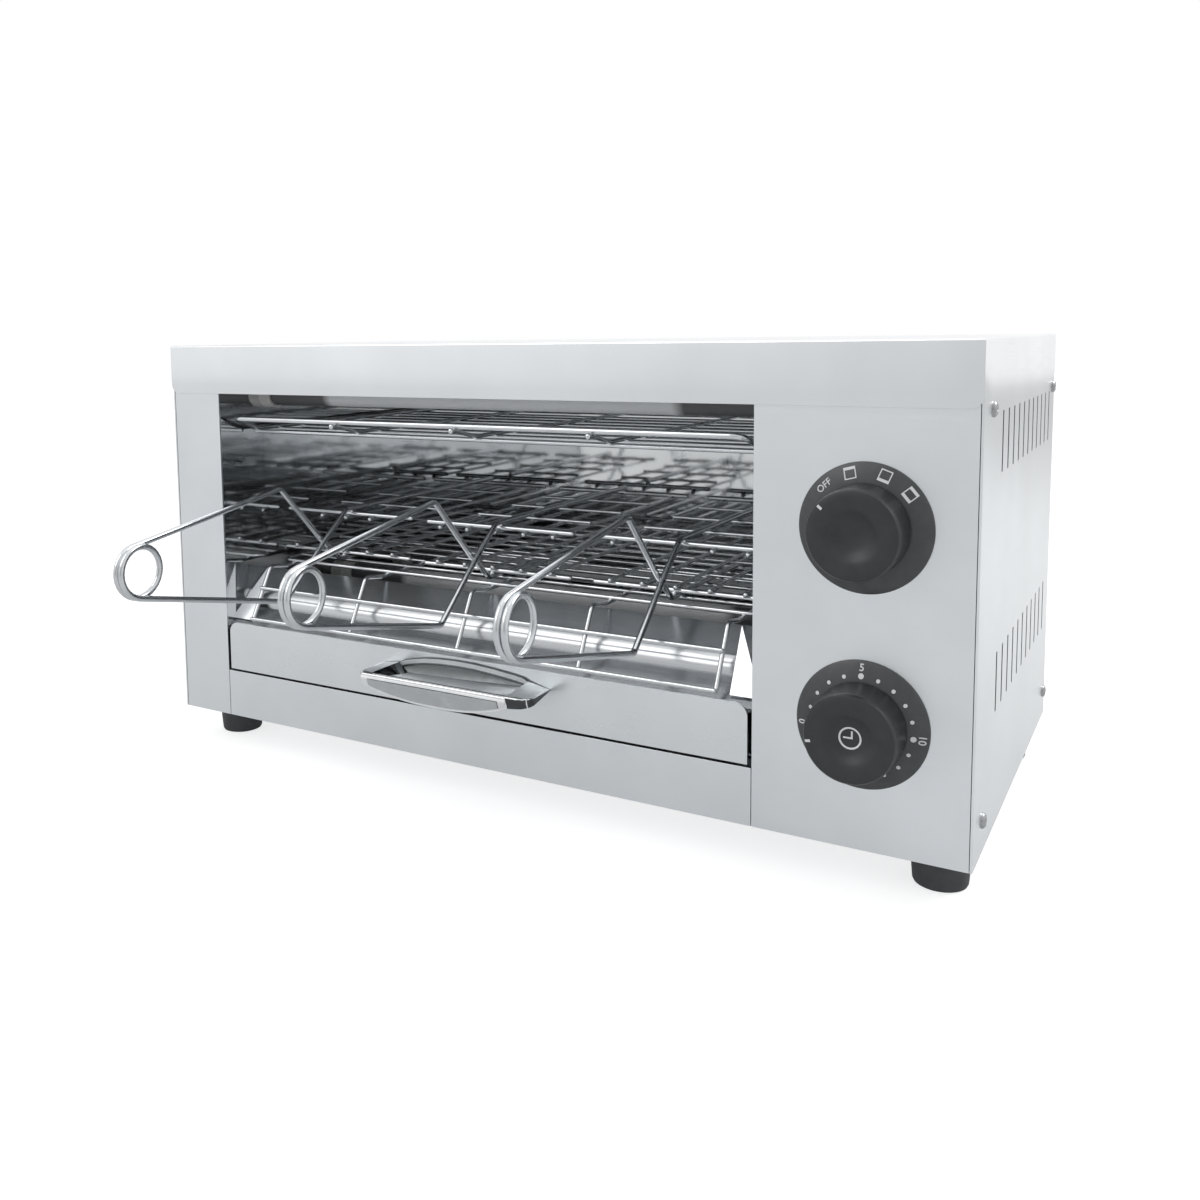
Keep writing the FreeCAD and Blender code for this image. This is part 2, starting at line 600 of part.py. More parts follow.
def make_feet():
    """Four tapered rubber feet and the screws that hold them from inside the base."""
    feet = []
    screws = []
    up = Vector(0, 0, 1)
    for spot in foot_spots():
        foot = Part.makeCone(size("foot_top_radius"), size("foot_base_radius"), size("foot_height"),
                             spot, -up)
        bore_depth = size("foot_screw_length")
        bore = cylinder(size("foot_screw_radius") + size("run_gap"), spot, -up, bore_depth)
        rim = [edge for edge in foot.Edges if abs(edge.BoundBox.ZMax + size("foot_height")) < 0.01]
        feet.append(foot.makeFillet(size("wall_sheet"), rim).cut(bore))
        seat = spot + up * size("frame_sheet")
        shank = cylinder(size("foot_screw_radius"), seat, -up, bore_depth)
        head = Part.makeCone(2 * size("foot_screw_radius"), size("foot_screw_radius"),
                             size("foot_screw_radius"), seat, up)
        screws.append(shank.fuse(head).removeSplitter())
    shaped("rubber_feet", Part.makeCompound(feet))
    shaped("foot_screws", Part.makeCompound(screws))


# Grilling chamber
def tube_rows():
    """Front-to-back place and height of every tube, above and below."""
    rows = {}
    for level in ("upper", "lower"):
        first = size(f"{level}_tube_front")
        pitch = size(f"{level}_tube_pitch")
        height = size(f"{level}_tube_height")
        rows[level] = [(first + pitch * index, height) for index in range(round(size("tube_count")))]
    return rows


def tube_holes(body, level_x):
    """Holes for the ceramic holders in a side wall."""
    for level in ("upper", "lower"):
        sketch = new_sketch(body, "YZ", level_x)
        add_circle(sketch, f"{level}_tube_front", f"{level}_tube_height", "holder_neck + run_gap")
        hole = pocket(body, sketch, "YZ", "wall_sheet")
        repeat(body, hole, "Y", f"{level}_tube_pitch * (tube_count - 1)", "tube_count")


def make_chamber():
    """Polished chamber: two side walls, the back wall and the ceiling that throws the heat down."""
    tall = ("frame_sheet", "chamber_top + wall_sheet")
    deep = ("chamber_front", "chamber_depth + wall_sheet")
    left = new_body("chamber_left_wall")
    plate(left, ("wall_left - wall_sheet", "wall_left"), deep, tall)
    tube_holes(left, "wall_left - wall_sheet")
    right = new_body("chamber_right_wall")
    plate(right, ("wall_right", "wall_right + wall_sheet"), deep, tall)
    tube_holes(right, "wall_right")
    back = new_body("chamber_back_wall")
    plate(back, ("wall_left", "wall_right"), ("chamber_depth", "chamber_depth + wall_sheet"), tall)
    ceiling = new_body("chamber_ceiling")
    plate(ceiling, ("wall_left", "wall_right"), ("chamber_front", "chamber_depth"),
          ("chamber_top", "chamber_top + wall_sheet"))
    shield = new_body("heat_shield", "wall_right + shield_inset")
    along = ("frame_flange", "chamber_depth")
    plate(shield, ("0", "wall_sheet"), along, ("frame_sheet", "shield_height"))
    plate(shield, ("0", "base_lip"), along, ("frame_sheet", "frame_sheet + wall_sheet"))


def make_heaters():
    """Quartz tubes with their heating spirals, held at both ends in ceramic holders."""
    along = Vector(1, 0, 0)
    left = size("wall_left") - size("wall_sheet")
    right = size("wall_right") + size("wall_sheet")
    bore_depth = size("holder_length") - size("holder_floor")
    bore = size("tube_radius") - size("tube_wall")
    inside = size("holder_inside") + size("wall_sheet")
    holders = []
    for level, spots in tube_rows().items():
        tubes = []
        spirals = []
        for y, z in spots:
            start = Vector(left - bore_depth + size("fit_gap"), y, z)
            length = right - left + 2 * (bore_depth - size("fit_gap"))
            outside = cylinder(size("tube_radius"), start, along, length)
            tubes.append(outside.cut(cylinder(bore, start, along, length)))
            reach = bore_depth - size("run_gap")
            spirals.append(cylinder(bore - size("fit_gap"), Vector(left - reach, y, z), along,
                                    right - left + 2 * reach))
            for base, out in ((left, -along), (right, along)):
                seat = Vector(base, y, z)
                neck = cylinder(size("holder_neck"), seat - out * inside, out, inside)
                block = cylinder(size("holder_radius"), seat, out, size("holder_length"))
                socket = cylinder(size("tube_radius") + size("run_gap"), seat - out * inside, out,
                                  inside + bore_depth)
                holders.append(block.fuse(neck).cut(socket).removeSplitter())
        shaped(f"{level}_quartz_tubes", Part.makeCompound(tubes))
        shaped(f"{level}_heating_spirals", Part.makeCompound(spirals))
    shaped("ceramic_holders", Part.makeCompound(holders))


def upper_rod_count():
    """How many thin rods fit between the raised lip and the rear rod of the upper guard."""
    room = size("guard_rear") - size("upper_guard_bend") - 3 * size("arm_bend")
    return int(room / size("upper_rod_pitch")) + 1


def make_upper_guard():
    """Upper wire guard: a frame with a raised front lip, cross rods bent to it and thin rods below."""
    thin = size("guard_wire")
    thick = size("frame_wire")
    half = size("upper_guard_half")
    middle = size("chamber_middle")
    front = size("upper_guard_front")
    bend_y = size("upper_guard_bend")
    rear = size("guard_rear")
    lip = size("upper_guard_lip")
    flat = size("upper_guard_height")
    turn = 1.8 * size("arm_bend")
    outline = [Vector(middle - half, rear, flat), Vector(middle - half, bend_y, flat),
               Vector(middle - half, front, lip), Vector(middle + half, front, lip),
               Vector(middle + half, bend_y, flat), Vector(middle + half, rear, flat)]
    shapes = [wire_rod(outline, thick, turn)]
    shapes.append(cylinder(thick, Vector(middle - half, rear, flat), Vector(1, 0, 0), 2 * half))
    drop = thick + thin - size("weld_depth")
    for step in (-1, 0, 1):
        x = middle + step * size("upper_guard_pitch")
        path = [Vector(x, front - 2 * thick, lip - drop), Vector(x, front, lip - drop),
                Vector(x, bend_y, flat), Vector(x, rear, flat)]
        shapes.append(wire_rod(path, thin, size("arm_bend")))
    below = flat - 2 * thin + size("weld_depth")
    for index in range(upper_rod_count()):
        y = bend_y + size("upper_rod_pitch") * index
        shapes.append(cylinder(thin, Vector(middle - half, y, below), Vector(1, 0, 0), 2 * half))
    shaped("upper_guard", joined(shapes))


def lower_slope():
    """Start, end, direction and outward normal of the lower guard's sloping front, in Y and Z."""
    toe = Vector(0, size("lower_guard_toe"), size("lower_guard_foot"))
    bend = Vector(0, size("lower_guard_bend"), size("lower_guard_crest"))
    along = (bend - toe).normalize()
    outward = Vector(0, -along.z, along.y)
    return toe, bend, along, outward


def make_lower_guard():
    """Lower wire guard: rods over depthwise wires, with a sloping front down to the tray."""
    thin = size("guard_wire")
    half = size("lower_guard_half")
    middle = size("chamber_middle")
    rear = size("guard_rear")
    flat = size("lower_guard_height")
    above = size("lower_rod_height")
    toe, bend, along, outward = lower_slope()
    across = Vector(1, 0, 0)
    shapes = []
    for step in range(-2, 3):
        shift = across * (middle + step * size("lower_guard_pitch"))
        settle = Vector(0, size("lower_guard_settle"), flat)
        path = [toe + shift, bend + shift, settle + shift, Vector(0, rear, flat) + shift]
        shapes.append(wire_rod(path, thin, size("arm_bend")))
    reach = 2 * size("lower_guard_pitch")
    for share in (0.0, 0.57):
        spot = toe + (bend - toe) * share + outward * (above - flat) + across * (middle - reach)
        shapes.append(cylinder(thin, spot, across, 2 * reach))
    front = size("lower_rod_front")
    end = rear + size("frame_wire")
    rim = [Vector(middle - half, end, above), Vector(middle - half, front, above),
           Vector(middle + half, front, above), Vector(middle + half, end, above)]
    shapes.append(wire_rod(rim, thin, 2 * size("arm_bend")))
    rods = round((rear - front) / size("lower_rod_pitch"))
    butt = half - thin + size("weld_depth")
    for index in range(1, rods + 1):
        y = front + (rear - front) * index / rods
        shapes.append(cylinder(thin, Vector(middle - butt, y, above), across, 2 * butt))
    shaped("lower_guard", joined(shapes))


def make_guard_rests():
    """Brackets on the chamber walls that carry both guards."""
    sets = (("upper_guard_rests", size("upper_guard_height") - size("frame_wire"), size("upper_guard_half")),
            ("lower_guard_rests", size("lower_rod_height") - size("guard_wire"), size("lower_guard_half")))
    middle = size("chamber_middle")
    inner = size("chamber_half")
    pitch = size("upper_rod_pitch")
    first = size("upper_guard_bend") + 2.5 * pitch - size("rest_width") / 2
    last = first + (upper_rod_count() - 3) * pitch
    for label, top, half in sets:
        rests = []
        width = inner - half + size("rest_width") / 2
        for low in (-inner, inner - width):
            for y in (first, last):
                corner = Vector(middle + low, y, top - size("rest_height") - size("run_gap"))
                rests.append(Part.makeBox(width, size("rest_width"), size("rest_height"), corner))
        shaped(label, Part.makeCompound(rests))


def make_deflector():
    """Polished strip under the guard's front with a rounded step, and a bright cheek at each end."""
    skin = size("wall_sheet")
    slope = math.tan(math.radians(size("deflector_slope")))
    left = size("wall_left") + size("fit_gap")
    lower = Vector(left, size("deflector_front"), size("deflector_low"))
    foot = lower + Vector(0, 1, slope) * size("deflector_lower_run")
    crown = foot + Vector(0, size("deflector_step_run"), size("deflector_step_rise"))
    upper = crown + Vector(0, 1, slope) * size("deflector_upper_run")
    rise = crown - foot
    swell = (foot + crown) * 0.5 + Vector(0, -rise.z, rise.y).normalize() * size("deflector_bulge")
    front = [lower, foot, swell, crown, upper]
    inward = Vector(0, 0.62, -0.78) * skin
    back = [point + inward for point in front]
    edges = [
        Part.LineSegment(front[0], front[1]).toShape(),
        Part.Arc(front[1], front[2], front[3]).toShape(),
        Part.LineSegment(front[3], front[4]).toShape(),
        Part.LineSegment(front[4], back[4]).toShape(),
        Part.LineSegment(back[4], back[3]).toShape(),
        Part.Arc(back[3], back[2], back[1]).toShape(),
        Part.LineSegment(back[1], back[0]).toShape(),
        Part.LineSegment(back[0], front[0]).toShape(),
    ]
    profile = Part.Face(Part.Wire(edges))
    width = 2 * (size("chamber_half") - size("fit_gap"))
    shaped("front_deflector", profile.extrude(Vector(width, 0, 0)))

    toe, bend, along, outward = lower_slope()
    height = size("cheek_height")
    low = toe + along * ((bend - toe).Length - height)
    low -= outward * (size("guard_wire") + size("cheek_gap"))
    outer = size("chamber_half")
    inner = outer - size("cheek_side")
    cheeks = []
    for side in (-1, 1):
        near = Vector(size("chamber_middle") + side * inner, 0, 0)
        far = Vector(size("chamber_middle") + side * outer, 0, 0)
        corners = [low + near, low + far, low + along * size("cheek_foot") + far,
                   low + along * height + near]
        plate_face = Part.Face(Part.makePolygon(corners + corners[:1]))
        cheeks.append(plate_face.extrude(outward * -skin))
    shaped("deflector_cheeks", Part.makeCompound(cheeks))


# Crumb tray
def make_tray():
    """Crumb tray: a shallow pan behind its own front, on two runners."""
    front = new_body("tray_front")
    skin = ("0", "tray_front_sheet")
    face = plate(front, ("tray_left", "tray_right"), skin, ("tray_bottom", "tray_bottom + tray_front_height"))

    def upper_corner(edge):
        high = abs(edge.CenterOfMass.z - size("tray_bottom") - size("tray_front_height")) < 0.01
        return high and edge.BoundBox.XLength < 0.01 and edge.BoundBox.YLength > 0.5
    round_edges(front, face, "tray_front_corner", upper_corner)
    holes(front, "XZ", "0", "tray_front_sheet",
          [(f"handle_middle + {side} * handle_screw_pitch / 2", "handle_level + handle_arch / 2",
            "handle_screw_radius + run_gap") for side in (-1, 1)])
    pan = new_body("crumb_tray_pan")
    low = "pan_bottom"
    left = "tray_left + tray_inset"
    right = "tray_right - tray_inset"
    start = "tray_front_sheet"
    stop = "tray_front_sheet + tray_depth"
    rim = "pan_bottom + tray_wall"
    plate(pan, (left, right), (start, stop), (low, f"{low} + tray_sheet"))
    plate(pan, (left, f"{left} + tray_sheet"), (start, stop), (low, rim))
    plate(pan, (f"{right} - tray_sheet", right), (start, stop), (low, rim))
    plate(pan, (left, right), (start, f"{start} + tray_sheet"), (low, f"{low} + tray_wall / 2"))
    plate(pan, (left, right), (f"{stop} - tray_sheet", stop), (low, rim))
    for label, edge, inward in (("left_tray_runner", "wall_left", 1),
                                ("right_tray_runner", "wall_right", -1)):
        rail = new_body(label, edge)
        wide = ("0", "runner_width") if inward > 0 else ("-runner_width", "0")
        thin = ("0", "runner_sheet") if inward > 0 else ("-runner_sheet", "0")
        along = ("base_lip", "chamber_depth - fit_gap")
        floor = "pan_bottom - fit_gap - runner_sheet"
        plate(rail, wide, along, (floor, f"{floor} + runner_sheet"))
        plate(rail, thin, along, (floor, f"{floor} + runner_height"))


def lens(half, low_end, low_middle, high_end, high_middle, y, thickness):
    """A plate in the XZ plane whose lower and upper edges are straight or bowed."""
    corners = [Vector(-half, y, low_end), Vector(half, y, low_end),
               Vector(half, y, high_end), Vector(-half, y, high_end)]
    edges = []
    for first, last, mid in ((corners[0], corners[1], low_middle), (corners[2], corners[3], high_middle)):
        if abs(first.z - mid) < 1e-6:
            edges.append(Part.LineSegment(first, last).toShape())
        else:
            edges.append(Part.Arc(first, Vector(0, y, mid), last).toShape())
    edges.insert(1, Part.LineSegment(corners[1], corners[2]).toShape())
    edges.append(Part.LineSegment(corners[3], corners[0]).toShape())
    return Part.Face(Part.Wire(edges)).extrude(Vector(0, thickness, 0))


def make_handle():
    """Tray handle: a back plate with an arched top, a level web and a front lip bowed downwards."""
    level = size("handle_level")
    thick = size("handle_sheet")
    top = level + thick
    half = size("handle_width") / 2
    back_half = size("handle_arch_width") / 2
    reach = size("handle_reach")
    back = lens(back_half, level, level, level + size("handle_arch_end"), level + size("handle_arch"),
                -thick, thick)
    lip = lens(half, top - size("handle_lip_end"), top - size("handle_lip"), top, top, -reach, thick)
    outline = [Vector(-half, -reach, level), Vector(half, -reach, level),
               Vector(half, 0, level), Vector(-half, 0, level)]
    web = Part.Face(Part.makePolygon(outline + outline[:1])).extrude(Vector(0, 0, thick))
    sides = []
    for side in (-1, 1):
        x = half - thick if side > 0 else -half
        profile = [Vector(x, -reach, top - size("handle_lip_end")), Vector(x, -reach, top),
                   Vector(x, 0, top), Vector(x, 0, level)]
        sides.append(Part.Face(Part.makePolygon(profile + profile[:1])).extrude(Vector(thick, 0, 0)))
    solid = joined([back, lip, web] + sides)
    screws = []
    height = level + size("handle_arch") / 2
    inside = size("tray_front_sheet")
    toward = Vector(0, -1, 0)
    for side in (-1, 1):
        x = side * size("handle_screw_pitch") / 2
        hole = cylinder(size("handle_screw_radius") + size("run_gap"), Vector(x, 0, height), toward,
                        thick * 0.7)
        solid = solid.cut(hole)
        seat = Vector(x, inside, height)
        shank = cylinder(size("handle_screw_radius"), seat, toward, inside + thick * 0.7 - size("run_gap"))
        head = cylinder(2 * size("handle_screw_radius"), seat, -toward, size("handle_screw_radius"))
        screws.append(shank.fuse(head).removeSplitter())
    shaped("tray_handle", solid, x=size("handle_middle"))
    shaped("handle_screws", Part.makeCompound(screws), x=size("handle_middle"))


# Controls
def turned(body, points):
    """A solid of revolution about the body's own Y axis; each point is a distance along Y and a radius."""
    sketch = new_sketch(body, "XY", "0")
    add_outline(sketch, [(radius, along) for along, radius in points])
    feature = body.newObject("PartDesign::Revolution", "Revolution")
    feature.Profile = sketch
    feature.ReferenceAxis = (origin_part(body, "Y_Axis"), [""])
    feature.Angle = 360
    return feature


def make_control(name, height, half, depth):
    """One rotary control: housing with bush, nut, shaft, dial plate and knob."""
    at = ("control_middle", "0", height)
    housing = new_body(f"{name}_housing", *at)
    plate(housing, (f"-{half}", half), ("frame_sheet", f"frame_sheet + {depth}"), (f"-{half}", half))
    bar(housing, "XZ", "-bush_reach", "bush_reach + 2 * frame_sheet", "0", "0", "bush_radius")
    holes(housing, "XZ", "-bush_reach", "bush_reach + shaft_depth", [("0", "0", "shaft_radius + run_gap")])
    nut = new_body(f"{name}_nut", *at)
    sketch = new_sketch(nut, "XZ", "-nut_height")
    corners = [(f"nut_radius * {math.cos(angle):.6f}", f"nut_radius * {math.sin(angle):.6f}")
               for angle in (math.tau * i / 6 for i in range(6))]
    add_outline(sketch, corners)
    add_circle(sketch, "0", "0", "bush_radius + run_gap")
    pad(nut, sketch, "XZ", "nut_height")
    bezel = new_body(f"{name}_dial_plate", *at)
    turned(bezel, [
        ("0", "nut_radius + fit_gap"),
        ("0", "bezel_radius"),
        ("-bezel_edge", "bezel_radius"),
        ("-bezel_height", "knob_radius"),
        ("-bezel_height", "nut_radius + fit_gap"),
    ])
    knob = new_body(f"{name}_knob", *at)
    foot = "-(bezel_height + knob_gap)"
    face = f"{foot} - knob_length"
    roof = f"{face} + knob_dish + knob_shell"
    turned(knob, [
        (foot, "knob_radius - knob_shell"),
        (foot, "knob_radius"),
        (f"{face} + knob_dish", "knob_front_radius + 0.4 * knob_dish"),
        (face, "knob_front_radius - 0.6 * knob_dish"),
        (f"{face} + 0.7 * knob_dish", "knob_front_radius / 2"),
        (f"{face} + knob_dish", "0"),
        (roof, "0"),
        (roof, "shaft_radius + run_gap"),
        ("-(bush_reach + knob_gap)", "shaft_radius + run_gap"),
        ("-(bush_reach + knob_gap)", "knob_hub_radius"),
        (roof, "knob_hub_radius"),
        (roof, "knob_radius - knob_shell"),
    ])
    shaft = new_body(f"{name}_shaft", *at)
    bar(shaft, "XZ", f"{roof} + run_gap", f"shaft_depth - run_gap - ({roof}) - run_gap",
        "0", "0", "shaft_radius")


def make_wiring_parts():
    """Terminal block on the base and the cable gland in the rear panel."""
    block = new_body("terminal_block", "gland_middle", "cabinet_depth - 2 * rear_flange")
    plate(block, ("-terminal_width / 2", "terminal_width / 2"), ("-terminal_depth", "0"),
          ("frame_sheet", "frame_sheet + terminal_height"))
    gland = new_body("cable_gland", "gland_middle", "rear_face", "gland_height")
    bar(gland, "XZ", "0", "gland_reach", "0", "0", "gland_flange")
    bar(gland, "XZ", "-3 * frame_sheet", "3 * frame_sheet + gland_reach / 2", "0", "0", "gland_radius")
    holes(gland, "XZ", "-3 * frame_sheet", "3 * frame_sheet + gland_reach", [("0", "0", "gland_bore")])


# Tongs
def tangent_angle(reach, rise, side):
    """Angle on the coil where a straight arm to a bend leaves it; side is 1 above and -1 below."""
    distance = math.hypot(reach, rise)
    return math.atan2(rise, reach) + side * math.acos(size("coil_radius") / distance)


def coil_point(angle, along, radius):
    """A point at an angle about the coil's axis."""
    return Vector(along, radius * math.cos(angle), radius * math.sin(angle))


def coil_corners(start, stop, along):
    """Corners of the runs that wrap the coil's middle line from one angle to another."""
    count = math.ceil(size("coil_corners") * (stop - start) / math.tau)
    step = (stop - start) / count
    outside = size("coil_radius") / math.cos(step / 2)
    corners = []
    for index in range(count):
        turned_by = step * (index + 0.5)
        rise = size("coil_pitch") * turned_by / math.tau
        corners.append(coil_point(start + turned_by, along + rise, outside))
    return corners


def arm_wires():
    """The two bent wires of a tong, in the frame of its coil."""
    wire = size("clamp_wire")
    radius = size("coil_radius")
    upper = tangent_angle(size("peak_reach"), size("peak_rise"), 1)
    lower = tangent_angle(size("corner_reach"), -size("corner_drop"), -1)
    lower += math.tau * (round(size("coil_turns")) + 1)
    split = math.tau * round(size("coil_turns"))
    gap = size("fit_gap") / radius
    pitch = size("coil_pitch")
    half = pitch * (lower - upper) / math.tau / 2
    first_end = pitch * (split - gap - upper) / math.tau - half
    second_end = half - pitch * (lower - split - gap) / math.tau
    side = size("cross_half")
    back = size("jaw_length") + wire
    low_rise = size("lower_spine_height") - size("coil_height")
    high_rise = size("upper_spine_height") - size("coil_height")
    cross = (size("cross_reach"), -size("cross_drop"))
    first_turns = coil_corners(upper, split - gap, -half)[::-1]
    first_turns[-1].x = -half
    first = [coil_point(split - gap, first_end, radius)] + first_turns + [
        Vector(-half + (half - side) * 0.75, size("peak_reach"), size("peak_rise")),
        Vector(-side, *cross),
        Vector(-side, size("lower_spine_reach"), low_rise),
        Vector(-side, size("lower_jaw_front") + back, low_rise),
    ]
    last_turn = coil_corners(split + gap, lower, second_end)
    last_turn[-1].x = half
    second = [coil_point(split + gap, second_end, radius)] + last_turn + [
        Vector(half - (half - side) * 0.75, size("corner_reach"), -size("corner_drop")),
        Vector(side, *cross),
        Vector(side, size("upper_spine_reach"), high_rise),
        Vector(side, size("upper_jaw_front") + back, high_rise),
    ]
    wires = []
    for path, turns in ((first, first_turns), (second, last_turn)):
        bends = [size("coil_bend") * radius] * len(turns) + [size("arm_bend")] * 3
        wires.append(wire_rod(path, wire, bends))
    return wires


def make_jaw(label, x, y, front, bar_height, wire_side):
    """One jaw: thick end bars, lengthwise wires on their bread side and thin ribs between."""
    level = f"{bar_height} - coil_height"
    jaw = new_body(label, x, y, "coil_height")
    wide = "2 * jaw_half"
    bar(jaw, "YZ", "-jaw_half", wide, front, level, "clamp_wire")
    inner = f"{level} + {wire_side} * jaw_wire_step"
    row = "jaw_wire_pitch * (jaw_wire_count - 1)"
    along = bar(jaw, "XZ", f"{front} - jaw_overhang", "jaw_length + 2 * jaw_overhang",
                f"-{row} / 2", inner, "jaw_wire")
    repeat(jaw, along, "X", row, "jaw_wire_count")
    bar(jaw, "YZ", "-jaw_half", wide, f"{front} + jaw_length", level, "clamp_wire")
    rib_level = f"{inner} - {wire_side} * (2 * jaw_wire - weld_depth)"
    step = "jaw_length / (jaw_rib_count + 1)"
    rib = bar(jaw, "YZ", f"-{row} / 2 - jaw_wire", f"{row} + 2 * jaw_wire",
              f"{front} + {step}", rib_level, "jaw_wire")
    repeat(jaw, rib, "Y", f"{step} * (jaw_rib_count - 1)", "jaw_rib_count")


def make_tongs():
    """Three tongs: a sprung arm with the lower jaw, and a crossing arm with the upper jaw."""
    spring_arm, cross_arm = arm_wires()
    for number, name in enumerate(("left", "middle", "right"), start=-1):
        x = size("chamber_middle") + size("clamp_shift") + number * size("clamp_pitch")
        push = size("clamp_push") if name == "left" else 0.0
        y = push - size("coil_front")
        shaped(f"{name}_tong_spring_arm", spring_arm.copy(), x, y, size("coil_height"))
        shaped(f"{name}_tong_cross_arm", cross_arm.copy(), x, y, size("coil_height"))
        x_text = f"chamber_middle + clamp_shift + {number} * clamp_pitch"
        y_text = "clamp_push - coil_front" if name == "left" else "-coil_front"
        make_jaw(f"{name}_tong_lower_jaw", x_text, y_text, "lower_jaw_front", "lower_bar_height", 1)
        make_jaw(f"{name}_tong_upper_jaw", x_text, y_text, "upper_jaw_front", "upper_bar_height", -1)


def check_and_write():
    """Stops on any failed object, then writes each sub-part to its own file."""
    document.recompute()
    for thing in document.Objects:
        if "Invalid" in thing.State or "Error" in thing.State:
            raise RuntimeError(f"{thing.Label} failed: {thing.State}")
    os.makedirs("parts", exist_ok=True)
    for node in nodes:
        shape = node.Shape
        if shape.isNull() or not shape.isValid() or not shape.Solids:
            raise RuntimeError(f"{node.Label} has no valid shape")
        shape.exportStep(f"parts/{node.Label}.step")
        print(f"{node.Label}: {len(shape.Solids)} solid, {shape.Volume:.0f} mm3")


fill_sheet()
make_cover()
make_front_frame()
make_base()
make_rear_panel()
make_cover_screws()
make_feet()
make_chamber()
make_heaters()
make_upper_guard()
make_lower_guard()
make_guard_rests()
make_deflector()
make_tray()
make_handle()
make_control("selector", "selector_height", "selector_half", "selector_depth")
make_control("timer", "timer_height", "timer_half", "timer_depth")
make_wiring_parts()
make_tongs()
check_and_write()
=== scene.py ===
"""Looks of a clamp toaster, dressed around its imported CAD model.

A stainless cabinet with an open grilling chamber, wire guards, a crumb tray, two rotary controls
and three sprung wire tongs. Sizes are millimetres in the cabinet's own axes unless a comment says
otherwise: x from its left side, y inwards from the face of its front, z up from its underside.
"""

import logging
import math
from dataclasses import dataclass, field
from enum import Enum
from functools import partial
from typing import Callable, Iterable, Sequence

import bmesh
import bpy
from mathutils import Matrix, Vector


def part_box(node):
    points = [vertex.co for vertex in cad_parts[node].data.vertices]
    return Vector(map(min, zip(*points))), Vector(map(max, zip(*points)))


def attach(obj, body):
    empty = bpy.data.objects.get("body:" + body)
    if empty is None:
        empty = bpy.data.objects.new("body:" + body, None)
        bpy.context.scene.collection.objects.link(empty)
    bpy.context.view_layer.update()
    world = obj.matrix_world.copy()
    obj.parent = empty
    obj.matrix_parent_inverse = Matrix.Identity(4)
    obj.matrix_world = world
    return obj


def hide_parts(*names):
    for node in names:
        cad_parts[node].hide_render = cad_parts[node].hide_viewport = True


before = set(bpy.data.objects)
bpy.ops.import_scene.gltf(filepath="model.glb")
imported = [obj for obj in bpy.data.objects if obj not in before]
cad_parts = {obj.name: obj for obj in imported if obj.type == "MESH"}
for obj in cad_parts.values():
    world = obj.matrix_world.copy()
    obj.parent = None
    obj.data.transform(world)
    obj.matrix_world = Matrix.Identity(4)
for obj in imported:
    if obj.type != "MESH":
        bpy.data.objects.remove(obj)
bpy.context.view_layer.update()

MM = 0.001
SIDES = (-1.0, 1.0)
log = logging.getLogger("toaster")

Point = tuple[float, float, float]
Pair = tuple[float, float]
Surface = Callable[[float, float], Vector]
Material = bpy.types.Material
Piece = bpy.types.Object
Socket = bpy.types.NodeSocket


class Body(Enum):
    """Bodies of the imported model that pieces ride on."""

    CABINET = "cabinet"
    TRAY = "crumb_tray"
    SELECTOR = "element_selector"
    TIMER = "timer"


class Axis(Enum):
    """Direction of the grain in a sheet."""

    X = 0
    Y = 1
    Z = 2


def vec(x: float, y: float, z: float) -> Vector:
    """A point or a direction."""
    return Vector((x, y, z))


@dataclass(frozen=True)
class CabinetAxes:
    """Where the cabinet's left side, front face and underside lie in the scene, in metres."""

    left: float
    front: float
    underside: float

    @classmethod
    def of_cad(cls) -> "CabinetAxes":
        """Reads the three planes from the CAD nodes that carry them."""
        return cls(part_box("outer_cover")[0].x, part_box("front_frame")[0].y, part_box("base_pan")[0].z)

    def at(self, x: float, y: float, z: float) -> Vector:
        """A point of the scene from millimetres in the cabinet's axes."""
        return vec(self.left + x * MM, self.front + y * MM, self.underside + z * MM)


CABINET = CabinetAxes.of_cad()


# Materials
class NodeSheet:
    """A node tree with short ways to add and link nodes."""

    def __init__(self, tree: bpy.types.NodeTree) -> None:
        """Starts on a tree."""
        self.tree = tree

    def give(self, socket: Socket, value: object) -> None:
        """Links another node's socket to a socket, or sets its value."""
        if isinstance(value, Socket):
            self.tree.links.new(value, socket)
        else:
            socket.default_value = value

    def add(self, kind: str, *values: object, **inputs: object) -> bpy.types.Node:
        """Adds a node and fills its sockets.

        Args:
            kind: Type of the node.
            values: Values or sockets for its first sockets.
            inputs: Values or sockets, by socket name with underscores for spaces.

        Returns:
            The new node.
        """
        node = self.tree.nodes.new(kind)
        for socket, value in zip(node.inputs, values):
            self.give(socket, value)
        for key, value in inputs.items():
            self.give(node.inputs[key.replace("_", " ")], value)
        return node

    def sum(self, operation: str, *values: object) -> Socket:
        """The result of a sum on sockets or numbers."""
        node = self.add("ShaderNodeMath", *values)
        node.operation = operation
        return node.outputs[0]


